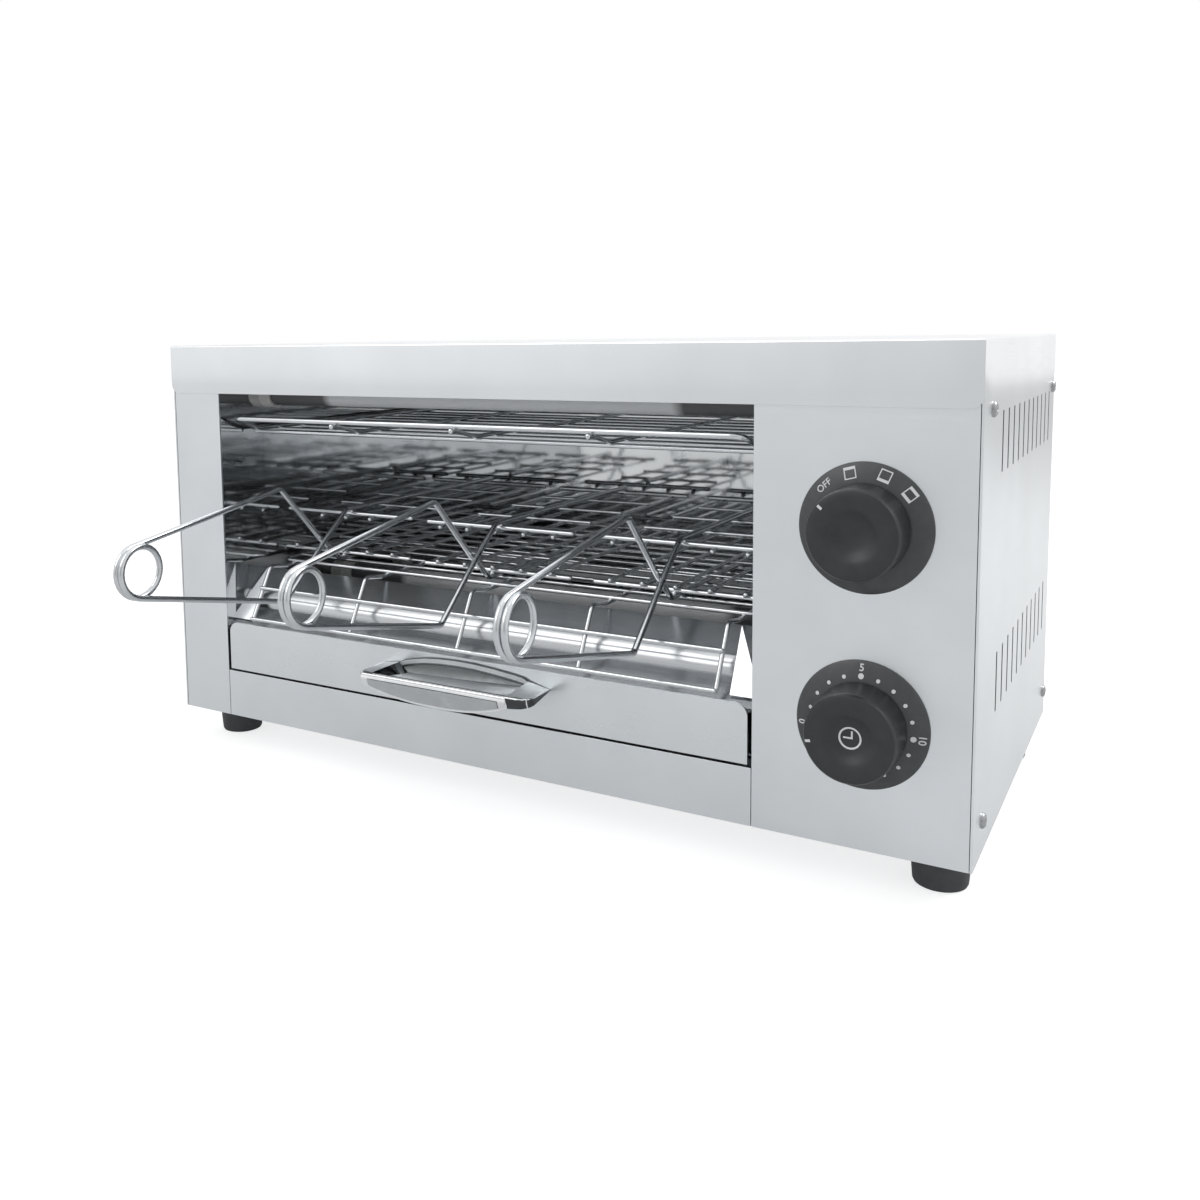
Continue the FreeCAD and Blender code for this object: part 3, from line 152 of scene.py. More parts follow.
class ShaderSheet(NodeSheet):
    """One material's nodes around a Principled shader."""

    def __init__(self, name: str) -> None:
        """Starts a material with a name."""
        self.material = bpy.data.materials.new(name)
        self.material.use_nodes = True
        super().__init__(self.material.node_tree)
        self.tree.nodes.clear()
        self.surface = self.add("ShaderNodeBsdfPrincipled")
        self.output = self.add("ShaderNodeOutputMaterial", self.surface.outputs["BSDF"])
        self.coordinates = self.add("ShaderNodeTexCoord").outputs["Object"]

    def finish(self, **inputs: object) -> Material:
        """Fills the Principled shader's sockets and returns the finished material."""
        for key, value in inputs.items():
            self.give(self.surface.inputs[key.replace("_", " ")], value)
        return self.material

    def noise(self, size_mm: float, stretch: Axis | None = None, detail: float = 2.0,
              run: float = 60.0) -> Socket:
        """Noise on the object's own coordinates.

        Args:
            size_mm: Size of a speck.
            stretch: Axis along which the specks are drawn out, if any.
            detail: Detail of the noise.
            run: How much longer than wide the drawn-out specks are.

        Returns:
            The noise's value socket.
        """
        scale = [1.0, 1.0, 1.0]
        if stretch is not None:
            scale[stretch.value] = 1.0 / run
        placed = self.add("ShaderNodeMapping", Vector=self.coordinates, Scale=scale)
        return self.add("ShaderNodeTexNoise", Vector=placed.outputs["Vector"],
                        Scale=1.0 / (size_mm * MM), Detail=detail, Roughness=0.55).outputs["Fac"]

    def span(self, value: Socket, low: float, high: float, near: float = 0.3,
             far: float = 0.7) -> Socket:
        """Maps a range, by default the middle of a noise's, to two limits."""
        return self.add("ShaderNodeMapRange", Value=value, From_Min=near, From_Max=far,
                        To_Min=low, To_Max=high).outputs["Result"]

    def around(self, value: Socket, middle: float, share: float) -> Socket:
        """Lets a value stray from its middle by a share of itself."""
        return self.span(value, middle * (1.0 - share), middle * (1.0 + share))

    def blend(self, factor: Socket, low: Point, high: Point, near: float = 0.3,
              far: float = 0.7) -> Socket:
        """A colour between two, by a factor."""
        ramp = self.add("ShaderNodeValToRGB", factor)
        for stop, place, colour in zip(ramp.color_ramp.elements, (near, far), (low, high)):
            stop.position = place
            stop.color = (*colour, 1.0)
        return ramp.outputs["Color"]

    def tinted(self, factor: Socket, tone: Point, darker: float, lighter: float = 0.0) -> Socket:
        """A tone that strays into darker and lighter shares of itself."""
        low, high = (tuple(min(1.0, part * share) for part in tone)
                     for share in (1.0 - darker, 1.0 + lighter))
        return self.blend(factor, low, high)

    def bump(self, height: Socket, depth_mm: float, under: Socket | None = None) -> Socket:
        """A bump of a given depth, on top of another one if there is one."""
        node = self.add("ShaderNodeBump", Height=height, Strength=1.0, Distance=depth_mm * MM)
        if under is not None:
            self.give(node.inputs["Normal"], under)
        return node.outputs["Normal"]


@dataclass(frozen=True)
class SheetMetal:
    """Rolled sheet: drawn-out grain, faint clouds in its tone and shallow waves."""

    name: str
    tone: Point
    roughness: float
    grain: Axis
    grain_mm: float = 0.5
    grain_depth_mm: float = 0.002
    wave_mm: float = 40.0
    wave_depth_mm: float = 0.02
    cloud: float = 0.04
    cloud_mm: float = 60.0

    def material(self) -> Material:
        """Builds the finish."""
        sheet = ShaderSheet(self.name)
        grain = sheet.noise(self.grain_mm, self.grain)
        clouds = sheet.noise(self.cloud_mm, detail=3.0)
        waves = sheet.bump(sheet.noise(self.wave_mm, detail=1.0), self.wave_depth_mm)
        return sheet.finish(
            Base_Color=sheet.tinted(clouds, self.tone, self.cloud, self.cloud), Metallic=1.0,
            Roughness=sheet.around(grain, self.roughness, 0.15),
            Normal=sheet.bump(grain, self.grain_depth_mm, waves))


@dataclass(frozen=True)
class BrightWire:
    """Plated and polished wire or casting, with faint ripples and a little tarnish."""

    name: str
    tone: Point
    roughness: float
    ripple_mm: float = 3.0
    ripple_depth_mm: float = 0.01
    tarnish: float = 0.10
    stain_mm: float = 9.0

    def material(self) -> Material:
        """Builds the finish."""
        sheet = ShaderSheet(self.name)
        stain = sheet.noise(self.stain_mm, detail=4.0)
        return sheet.finish(
            Base_Color=sheet.tinted(stain, self.tone, self.tarnish), Metallic=1.0,
            Roughness=sheet.span(stain, self.roughness * 1.5, self.roughness),
            Normal=sheet.bump(sheet.noise(self.ripple_mm, detail=1.0), self.ripple_depth_mm))


@dataclass(frozen=True)
class Moulding:
    """Moulded plastic, rubber or fired ceramic: a fine pebble and slight mottling."""

    name: str
    tone: Point
    roughness: float
    pebble_mm: float = 0.35
    pebble_depth_mm: float = 0.01
    mottle: float = 0.15
    mottle_mm: float = 6.0
    gloss: float = 0.5

    def material(self) -> Material:
        """Builds the finish."""
        sheet = ShaderSheet(self.name)
        mottle = sheet.noise(self.mottle_mm, detail=4.0)
        return sheet.finish(
            Base_Color=sheet.tinted(mottle, self.tone, self.mottle, self.mottle),
            Roughness=sheet.around(mottle, self.roughness, 0.08), Specular_IOR_Level=self.gloss,
            Normal=sheet.bump(sheet.noise(self.pebble_mm), self.pebble_depth_mm))


@dataclass(frozen=True)
class Spangled:
    """Zinc-coated sheet with the flat crystals of hot dipping."""

    name: str
    light: Point
    dark: Point
    roughness: float
    crystal_mm: float = 7.0

    def material(self) -> Material:
        """Builds the finish."""
        sheet = ShaderSheet(self.name)
        cells = sheet.add("ShaderNodeTexVoronoi", Vector=sheet.coordinates,
                          Scale=1.0 / (self.crystal_mm * MM))
        cell = sheet.add("ShaderNodeSeparateColor", cells.outputs["Color"]).outputs
        return sheet.finish(
            Base_Color=sheet.blend(cell["Red"], self.dark, self.light), Metallic=1.0,
            Roughness=sheet.around(cell["Green"], self.roughness, 0.2),
            Normal=sheet.bump(sheet.noise(0.6), 0.004))


@dataclass(frozen=True)
class QuartzTube:
    """Frosted quartz that is darker at its cold ends and milky along its heated length."""

    name: str
    milky: Point
    dark_ends: Point
    left: float
    right: float
    cold_length: float
    fade: float = 3.0
    roughness: float = 0.35

    def material(self) -> Material:
        """Builds the finish."""
        sheet = ShaderSheet(self.name)
        across = sheet.add("ShaderNodeSeparateXYZ", sheet.coordinates).outputs["X"]
        middle = CABINET.at((self.left + self.right) / 2, 0, 0).x
        half = (self.right - self.left) / 2 - self.cold_length
        apart = sheet.sum("ABSOLUTE", sheet.sum("SUBTRACT", across, middle))
        ends = sheet.span(apart, 0.0, 1.0, (half - self.fade) * MM, (half + self.fade) * MM)
        return sheet.finish(
            Base_Color=sheet.blend(ends, self.milky, self.dark_ends, 0.0, 1.0),
            Roughness=sheet.around(sheet.noise(2.0), self.roughness, 0.1),
            Normal=sheet.bump(sheet.noise(1.2), 0.006))


FINISHES = {finish.name: finish.material() for finish in (
    SheetMetal("front_steel", (0.76, 0.79, 0.812), 0.34, Axis.X),
    SheetMetal("cover_steel", (0.80, 0.825, 0.845), 0.22, Axis.Y),
    SheetMetal("tray_steel", (0.745, 0.775, 0.795), 0.32, Axis.X),
    SheetMetal("bright_steel", (0.74, 0.76, 0.78), 0.22, Axis.X),
    SheetMetal("polished_chamber_sheet", (0.70, 0.715, 0.725), 0.06, Axis.Z, grain_mm=1.2,
               grain_depth_mm=0.004, wave_mm=12.0),
    SheetMetal("mirror_strip", (0.56, 0.575, 0.59), 0.22, Axis.X, wave_mm=14.0,
               wave_depth_mm=0.03),
    Spangled("galvanised_sheet", (0.55, 0.57, 0.59), (0.40, 0.42, 0.44), 0.38),
    BrightWire("plated_guard_wire", (0.70, 0.72, 0.74), 0.16),
    BrightWire("plated_tong_wire", (0.66, 0.68, 0.70), 0.14),
    BrightWire("cast_handle_chrome", (0.93, 0.945, 0.96), 0.12, ripple_mm=14.0),
    # Dimmer copies of the handle's chrome for its floor, wings, left end, panel and back band: their
    # lower tones are painted shade standing in for darker reflections; the satin copy's higher roughness
    # is its finish
    BrightWire("handle_floor_chrome_painted_shade", (0.68, 0.70, 0.715), 0.30, ripple_mm=14.0),
    BrightWire("handle_chrome_painted_shade", (0.66, 0.685, 0.70), 0.34, ripple_mm=14.0),
    BrightWire("handle_satin_painted_shade", (0.60, 0.62, 0.635), 0.26, ripple_mm=14.0),
    # Dark copy of the handle's chrome for the back plate's hollow: painted shade
    BrightWire("handle_hollow_painted_shade", (0.19, 0.20, 0.205), 0.34, ripple_mm=14.0),
    # Near-black copy of the handle's chrome for the right end, the cheeks and the dark lines: painted
    # dark reflection
    BrightWire("handle_chrome_painted_dark_reflection", (0.085, 0.09, 0.095), 0.12, ripple_mm=5.0,
               ripple_depth_mm=0.05),
    Moulding("knob_plastic", (0.025, 0.027, 0.029), 0.42),
    Moulding("dial_plastic", (0.062, 0.067, 0.070), 0.36, pebble_mm=0.25),
    Moulding("housing_plastic", (0.10, 0.10, 0.11), 0.5),
    Moulding("foot_rubber", (0.075, 0.079, 0.083), 0.62, pebble_mm=0.6, gloss=0.35),
    Moulding("white_ink", (0.74, 0.76, 0.78), 0.55, pebble_mm=0.2, mottle=0.06),
    QuartzTube("frosted_quartz", (0.90, 0.92, 0.94), (0.12, 0.125, 0.13), 35.0, 349.0, 50.0),
    BrightWire("heating_wire", (0.30, 0.28, 0.27), 0.35),
    Moulding("fired_ceramic", (0.78, 0.77, 0.74), 0.55, pebble_mm=0.5, mottle=0.05),
    BrightWire("nut_brass", (0.72, 0.58, 0.32), 0.25),
    BrightWire("zinc_screw", (0.38, 0.385, 0.395), 0.22, ripple_mm=1.0),
)}


# Mesh tools
FLAT_ANGLE = math.radians(0.5)
BROKEN_ANGLE = math.radians(35.0)
FOLD_ANGLE = 1.0
REAR_MARGIN = 1e-5


def linked(name: str, mesh: bpy.types.Mesh) -> Piece:
    """A new object of the scene with a mesh."""
    piece = bpy.data.objects.new(name, mesh)
    bpy.context.scene.collection.objects.link(piece)
    return piece


def new_piece(name: str, points: Iterable[Sequence[float]], faces: Iterable[Sequence[int]] = (),
              edges: Iterable[Sequence[int]] = ()) -> Piece:
    """A mesh object at the origin from its vertices, in metres, and its faces or loose edges."""
    mesh = bpy.data.meshes.new(name)
    mesh.from_pydata([tuple(point) for point in points], list(edges), list(faces))
    mesh.update()
    return linked(name, mesh)


def worked(name: str, work: bmesh.types.BMesh) -> Piece:
    """The object of a mesh that was edited."""
    mesh = bpy.data.meshes.new(name)
    work.to_mesh(mesh)
    work.free()
    return linked(name, mesh)


def applied(piece: Piece) -> Piece:
    """Turns a piece's modifiers into its mesh."""
    depsgraph = bpy.context.evaluated_depsgraph_get()
    mesh = bpy.data.meshes.new_from_object(piece.evaluated_get(depsgraph))
    piece.modifiers.clear()
    piece.data = mesh
    return piece


def outward(piece: Piece, smooth_degrees: float) -> Piece:
    """Merges doubles, turns a closed piece's faces outwards and shades it smooth up to an angle."""
    work = bmesh.new()
    work.from_mesh(piece.data)
    bmesh.ops.remove_doubles(work, verts=work.verts, dist=1e-7)
    bmesh.ops.recalc_face_normals(work, faces=work.faces)
    work.to_mesh(piece.data)
    work.free()
    piece.data.polygons.foreach_set("use_smooth", [True] * len(piece.data.polygons))
    piece.data.set_sharp_from_angle(angle=math.radians(smooth_degrees))
    return piece


def settle(piece: Piece, finish: str | None, body: str, slot: str, *nodes: str) -> None:
    """Gives a finished piece its material and body, and hides the CAD nodes that it stands for.

    Args:
        piece: The piece.
        finish: Name of its finish, or None where the mesh has it already.
        body: Name of the CAD body that it rides on.
        slot: Name of the record's material slot; not used.
        nodes: CAD nodes that it replaces.
    """
    if finish is not None:
        piece.data.materials.clear()
        piece.data.materials.append(FINISHES[finish])
    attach(piece, body)
    if nodes:
        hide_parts(*nodes)
    log.info("%s: %d faces on %s", piece.name, len(piece.data.polygons), body)


def dress(finish: str, *nodes: str) -> None:
    """Gives CAD nodes another material."""
    for node in nodes:
        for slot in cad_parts[node].material_slots:
            slot.material = FINISHES[finish]
        log.info("%s: dressed as %s", node, finish)


def softened(node: str, edge: float, bend: Callable[[Vector], bool] | None = None,
             bend_width: float = 0.0) -> Piece:
    """A copy of a CAD sheet with its edges broken and its folds rounded.

    Args:
        node: The CAD node.
        edge: Width of the broken edges.
        bend: Picks the corners of folds.
        bend_width: Width of the rounding at folds.

    Returns:
        The copy, which still needs its material and body.
    """
    work = bmesh.new()
    work.from_mesh(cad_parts[node].data)
    bmesh.ops.remove_doubles(work, verts=work.verts, dist=1e-6)
    # The rearmost faces keep their triangles: as one polygon, the cover's rear edge fills wrongly.
    rear = max(v.co.y for v in work.verts) - REAR_MARGIN
    flat = [e for e in work.edges if min(v.co.y for v in e.verts) < rear]
    inner = [v for v in work.verts if v.co.y < rear]
    bmesh.ops.dissolve_limit(work, angle_limit=FLAT_ANGLE, verts=inner, edges=flat)
    if bend is not None:
        origin = CABINET.at(0, 0, 0)
        corners = {v for v in work.verts if bend((v.co - origin) / MM)}
        folds = [e for e in work.edges if corners.issuperset(e.verts)
                 and len(e.link_faces) == 2 and e.calc_face_angle() > FOLD_ANGLE]
        bmesh.ops.bevel(work, geom=folds, offset=bend_width * MM, offset_type="OFFSET",
                        segments=4, profile=0.5, affect="EDGES", clamp_overlap=True)
    piece = worked(node + "_sheet", work)
    if "custom_normal" in piece.data.attributes:
        piece.data.attributes.remove(piece.data.attributes["custom_normal"])
    piece.data.polygons.foreach_set("use_smooth", [True] * len(piece.data.polygons))
    broken = piece.modifiers.new("broken edges", "BEVEL")
    broken.width = edge * MM
    broken.segments = 2
    broken.limit_method = "ANGLE"
    broken.angle_limit = BROKEN_ANGLE
    broken.harden_normals = True
    return applied(piece)


def lofted(name: str, rows: Sequence[Sequence[Vector]], closed: bool) -> Piece:
    """A mesh between rows of equally many points.

    Args:
        name: Name of the piece.
        rows: The rows, in metres.
        closed: Whether the last point of a row is joined to its first.

    Returns:
        The piece.
    """
    count = len(rows[0])
    steps = [(i, (i + 1) % count) for i in range(count if closed else count - 1)]
    faces = [(row + i, row + j, row + count + j, row + count + i)
             for row in range(0, count * (len(rows) - 1), count) for i, j in steps]
    return new_piece(name, [point for row in rows for point in row], faces)


def ring(radius: float, count: int) -> list[Pair]:
    """Points around a circle in the XY plane."""
    return [(radius * math.cos(math.tau * i / count), radius * math.sin(math.tau * i / count))
            for i in range(count)]


def turned_piece(name: str, profile: Sequence[Pair], segments: int, place: Matrix) -> Piece:
    """A solid of revolution about its local Z axis.

    Args:
        name: Name of the piece.
        profile: Radius and height of each point, from the lower pole outwards.
        segments: Steps around the axis.
        place: Where its axes lie in the scene; its unit is the metre.

    Returns:
        The closed, smooth piece.
    """
    rows = [[place @ (vec(x, y, height) * MM) for x, y in ring(radius, segments)]
            for radius, height in profile]
    return outward(lofted(name, rows, True), 32.0)


def rounded(points: Sequence[Vector], radius: float, step: float = 14.0) -> list[Vector]:
    """A path of straight runs whose corners are arcs.

    Args:
        points: Corners of the path.
        radius: Radius of the arcs.
        step: Angle between the points of an arc, in degrees.

    Returns:
        The points of the path.
    """
    path = [points[0]]
    for before, corner, after in zip(points, points[1:], points[2:]):
        into = (corner - before).normalized()
        out = (after - corner).normalized()
        turn = into.angle(out)
        if turn < 1e-3:
            continue
        centre = corner + (out - into).normalized() * (radius / math.cos(turn / 2))
        first = corner - into * radius * math.tan(turn / 2) - centre
        axis = into.cross(out).normalized()
        count = max(2, math.ceil(math.degrees(turn) / step))
        path += [centre + Matrix.Rotation(turn * i / count, 3, axis) @ first
                 for i in range(count + 1)]
    path.append(points[-1])
    return path


# Geometry Nodes trees
class TreeSheet(NodeSheet):
    """A Geometry Nodes tree with named inputs."""

    def __init__(self, name: str, **inputs: str) -> None:
        """Starts a tree.

        Args:
            name: Name of the tree.
            inputs: Socket type of every input after the geometry, by its name.
        """
        super().__init__(bpy.data.node_groups.new(name, "GeometryNodeTree"))
        face = self.tree.interface
        for way in ("INPUT", "OUTPUT"):
            face.new_socket("Geometry", in_out=way, socket_type="NodeSocketGeometry")
        self.identifiers = {}
        for label, kind in {**inputs, "Finish": "Material"}.items():
            socket = face.new_socket(label, in_out="INPUT", socket_type=f"NodeSocket{kind}")
            self.identifiers[label] = socket.identifier
        self.inputs = self.add("NodeGroupInput").outputs

    def attribute(self, name: str, kind: str) -> Socket:
        """The values of a named attribute."""
        node = self.add("GeometryNodeInputNamedAttribute", Name=name)
        node.data_type = kind
        return node.outputs["Attribute"]

    def points(self, **selection: Socket) -> Socket:
        """The incoming vertices as points."""
        return self.add("GeometryNodeMeshToPoints", Mesh=self.inputs["Geometry"],
                        **selection).outputs[0]

    def copies(self, part: Socket, points: Socket, **placing: Socket) -> Socket:
        """A part on every point."""
        return self.add("GeometryNodeInstanceOnPoints", Points=points, Instance=part,
                        **placing).outputs[0]

    def close(self, *parts: Socket, smooth: bool = True) -> None:
        """Joins and realizes the parts and gives them the finish that comes in."""
        joined = self.add("GeometryNodeJoinGeometry")
        for part in parts:
            self.give(joined.inputs[0], part)
        made = self.add("GeometryNodeRealizeInstances", joined.outputs[0])
        if smooth:
            made = self.add("GeometryNodeSetShadeSmooth", Geometry=made.outputs[0],
                            Shade_Smooth=True)
        made = self.add("GeometryNodeSetMaterial", Geometry=made.outputs[0],
                        Material=self.inputs["Finish"])
        self.add("NodeGroupOutput", made.outputs[0])

    def run(self, piece: Piece, finish: str, **values: object) -> Piece:
        """Runs the tree on a piece and keeps the plain mesh.

        Args:
            piece: Object whose mesh is the tree's geometry.
            finish: Name of the result's finish.
            values: The other inputs' values.

        Returns:
            The same object with the result as its mesh.
        """
        modifier = piece.modifiers.new(self.tree.name, "NODES")
        modifier.node_group = self.tree
        for label, value in {**values, "Finish": FINISHES[finish]}.items():
            modifier[self.identifiers[label]] = value
        applied(piece)
        for name in ("wire_radius", "bead_radius", "turn"):
            if name in piece.data.attributes:
                piece.data.attributes.remove(piece.data.attributes[name])
        return piece


def wire_tree() -> TreeSheet:
    """Edges with a radius become round wires, points with a bead radius welds or ends."""
    sheet = TreeSheet("round_wires", Sides="Int", Bead_Sides="Int")
    runs = sheet.add("GeometryNodeMeshToCurve", sheet.inputs["Geometry"])
    circle = sheet.add("GeometryNodeCurvePrimitiveCircle", Resolution=sheet.inputs["Sides"],
                       Radius=1.0)
    tubes = sheet.add("GeometryNodeCurveToMesh", Curve=runs.outputs[0],
                      Profile_Curve=circle.outputs["Curve"], Fill_Caps=True,
                      Scale=sheet.attribute("wire_radius", "FLOAT"))
    radius = sheet.attribute("bead_radius", "FLOAT")
    ball = sheet.add("GeometryNodeMeshUVSphere", Segments=sheet.inputs["Bead_Sides"], Rings=6,
                     Radius=1.0)
    beads = sheet.copies(ball.outputs[0], sheet.points(Selection=radius), Scale=radius)
    sheet.close(tubes.outputs[0], beads)
    return sheet


def copies_tree() -> TreeSheet:
    """A part repeated at every point, turned as the point says."""
    sheet = TreeSheet("repeated_part", Part="Object")
    part = sheet.add("GeometryNodeObjectInfo", Object=sheet.inputs["Part"])
    sheet.close(sheet.copies(part.outputs["Geometry"], sheet.points(),
                             Rotation=sheet.attribute("turn", "FLOAT_VECTOR")), smooth=False)
    return sheet


def spiral_tree() -> TreeSheet:
    """A heating spiral along X from every point."""
    sheet = TreeSheet("heating_spirals", Turns="Float", Radius="Float", Length="Float",
                      Wire="Float")
    inputs = sheet.inputs
    spiral = sheet.add("GeometryNodeCurveSpiral", Resolution=9, Rotations=inputs["Turns"],
                       Start_Radius=inputs["Radius"], End_Radius=inputs["Radius"],
                       Height=inputs["Length"])
    circle = sheet.add("GeometryNodeCurvePrimitiveCircle", Resolution=5, Radius=inputs["Wire"])
    wire = sheet.add("GeometryNodeCurveToMesh", Curve=spiral.outputs[0],
                     Profile_Curve=circle.outputs["Curve"], Fill_Caps=True)
    lying = sheet.add("GeometryNodeTransform", Geometry=wire.outputs[0],
                      Rotation=(0.0, math.pi / 2, 0.0))
    sheet.close(sheet.copies(lying.outputs[0], sheet.points()))
    return sheet


WIRES, COPIES, SPIRALS = wire_tree(), copies_tree(), spiral_tree()


def repeated(name: str, part: Piece, spots: Sequence[Vector], turns: Sequence[Vector],
             finish: str) -> Piece:
    """Copies a part to several places and throws the single part away.

    Args:
        name: Name of the new piece.
        part: The part, built about the origin.
        spots: Where the copies go, in metres.
        turns: Their Euler angles.
        finish: Name of their finish.

    Returns:
        The piece.
    """
    cloud = new_piece(name, spots)
    layer = cloud.data.attributes.new("turn", "FLOAT_VECTOR", "POINT")
    layer.data.foreach_set("vector", [value for turn in turns for value in turn])
    piece = COPIES.run(cloud, finish, Part=part)
    bpy.data.objects.remove(part)
    return piece


@dataclass
class WireWork:
    """Round wires of one piece, with the beads where they cross or end."""

    name: str
    strands: list[tuple[list[Vector], float]] = field(default_factory=list)
    beads: list[tuple[Vector, float]] = field(default_factory=list)

    def run(self, points: Sequence[Vector], radius: float, bend: float = 0.0,
            ends: float = 0.0) -> None:
        """Adds a wire.

        Args:
            points: Corners of its path.
            radius: Its radius.
            bend: Radius of its bends.
            ends: Radius of the beads at its ends, if any.
        """
        self.strands.append((rounded(points, bend) if bend else list(points), radius))
        if ends:
            self.beads += [(points[0], ends), (points[-1], ends)]

    def rod(self, half: float, middle: float, y: float, z: float, radius: float,
            ends: float = 0.0) -> None:
        """Adds a straight wire along X."""
        self.run([vec(middle - half, y, z), vec(middle + half, y, z)], radius, 0.0, ends)

    def bead(self, spot: Vector, radius: float) -> None:
        """Adds a weld or a rounded end."""
        self.beads.append((spot, radius))

    def build(self, finish: str, sides: int = 14) -> Piece:
        """Makes the piece, with its material and as many faces around a wire as it is told."""
        points, edges, wire = [], [], []
        for path, radius in self.strands:
            start = len(points)
            points += path
            edges += [(start + i, start + i + 1) for i in range(len(path) - 1)]
            wire += [radius * MM] * len(path)
        bead = [0.0] * len(points) + [radius * MM for _, radius in self.beads]
        wire += [0.0] * len(self.beads)
        points += [spot for spot, _ in self.beads]
        piece = new_piece(self.name, [CABINET.at(*spot) for spot in points], edges=edges)
        for name, values in (("wire_radius", wire), ("bead_radius", bead)):
            layer = piece.data.attributes.new(name, "FLOAT", "POINT")
            layer.data.foreach_set("value", values)
        return WIRES.run(piece, finish, Sides=sides, Bead_Sides=10)


@dataclass(frozen=True)
class Studio:
    """Plain pale floor, soft lamps and the camera of the photograph; lengths are in metres."""

    floor_half: float = 6.0
    floor_tone: Point = (0.46, 0.465, 0.47)
    floor_glow: float = 0.72
    mirrored_glow: float = 0.24
    room_light: float = 0.7
    dark_side: Point = (0.3, -0.95, 0.0)
    dark_share: float = 0.5
    dark_spread: float = 4.0
    lens_mm: float = 34.636
    shift: Pair = (0.0777, -0.124)
    eye: Point = (0.29303, -0.52644, 0.23607)
    yaw: float = -0.547357
    pitch: float = -0.101128
    roll: float = -0.0143288

    def build(self) -> None:
        """Makes the floor, the world, the lamps and the camera."""
        self.make_floor()
        self.make_world()
        self.make_lamp("key_panel", (-0.9, -1.3, 1.5), (0.0, 0.0, 0.1), 1.4, 10.0)
        self.make_lamp("top_panel", (0.0, 0.2, 1.9), (0.0, 0.0, 0.1), 1.6, 3.0)
        self.make_lamp("side_panel", (1.0, 0.8, 1.1), (0.35, 0.5, 0.0), 0.8, 12.0)
        self.make_camera()

    def seen(self, sheet: NodeSheet, plain: float, mirrored: float) -> Socket:
        """A level for camera and transmission rays, another for glossy rays, zero for the rest."""
        path = sheet.add("ShaderNodeLightPath").outputs
        straight, through, glossy = (
            sheet.sum("MULTIPLY", path[f"Is {kind} Ray"], level)
            for kind, level in (("Camera", plain), ("Transmission", plain), ("Glossy", mirrored)))
        return sheet.sum("MAXIMUM", sheet.sum("MAXIMUM", straight, through), glossy)

    def make_floor(self) -> None:
        """A wide matt floor under the feet, pale to the eye but with the object's shadow."""
        edge = [(x, y, 0.0) for x, y in ring(self.floor_half, 64)]
        floor = new_piece("studio_floor", edge, [tuple(range(len(edge)))])
        sheet = ShaderSheet("pale_floor")
        glow = sheet.add("ShaderNodeEmission", (1.0, 1.0, 1.0, 1.0),
                         self.seen(sheet, self.floor_glow, self.mirrored_glow))
        both = sheet.add("ShaderNodeAddShader", sheet.surface.outputs["BSDF"],
                         glow.outputs["Emission"])
        sheet.give(sheet.output.inputs["Surface"], both.outputs["Shader"])
        floor.data.materials.append(sheet.finish(
            Base_Color=sheet.tinted(sheet.noise(30.0), self.floor_tone, 0.01), Roughness=0.9))

    def make_world(self) -> None:
        """White to the eye, softer as a light, with a dim side of the room in reflections."""
        world = bpy.data.worlds.new("studio_room")
        bpy.context.scene.world = world
        world.use_nodes = True
        sheet = NodeSheet(world.node_tree)
        back = sheet.tree.nodes["Background"].inputs
        back["Color"].default_value = (1.0, 1.0, 1.0, 1.0)
        towards = sheet.add("ShaderNodeVectorMath",
                            sheet.add("ShaderNodeTexCoord").outputs["Generated"],
                            Vector(self.dark_side).normalized())
        towards.operation = "DOT_PRODUCT"
        ahead = sheet.sum("MAXIMUM", towards.outputs["Value"], 0.0)
        dim = sheet.sum("MULTIPLY", sheet.sum("POWER", ahead, self.dark_spread), self.dark_share)
        dim = sheet.sum("MULTIPLY", dim, self.seen(sheet, 0.0, 1.0))
        lift = self.seen(sheet, 1.0 - self.room_light, 1.0 - self.room_light)
        level = sheet.sum("ADD", lift, self.room_light)
        sheet.give(back["Strength"], sheet.sum("SUBTRACT", level, dim))

    def make_lamp(self, name: str, spot: Point, aim: Point, side: float, power: float) -> None:
        """A square soft lamp.

        Args:
            name: Name of the lamp.
            spot: Its place.
            aim: The point it faces.
            side: Its side.
            power: Its power, in watts.
        """
        data = bpy.data.lights.new(name, "AREA")
        data.size = side
        data.energy = power
        lamp = linked(name, data)
        lamp.location = spot
        towards = Vector(aim) - Vector(spot)
        lamp.rotation_euler = towards.to_track_quat("-Z", "Y").to_euler()

    def make_camera(self) -> None:
        """The photograph's camera, from its place, three angles, lens and shift."""
        data = bpy.data.cameras.new("camera")
        data.sensor_width = 36.0
        data.lens = self.lens_mm
        data.shift_x, data.shift_y = self.shift
        forward = vec(math.sin(self.yaw) * math.cos(self.pitch),
                      math.cos(self.yaw) * math.cos(self.pitch), math.sin(self.pitch))
        level = vec(math.cos(self.yaw), -math.sin(self.yaw), 0.0)
        upright = level.cross(forward)
        right = level * math.cos(self.roll) + upright * math.sin(self.roll)
        up = upright * math.cos(self.roll) - level * math.sin(self.roll)
        camera = linked("camera", data)
        turned = Matrix((right, up, -forward)).transposed().to_4x4()
        camera.matrix_world = Matrix.Translation(self.eye) @ turned
        bpy.context.scene.camera = camera


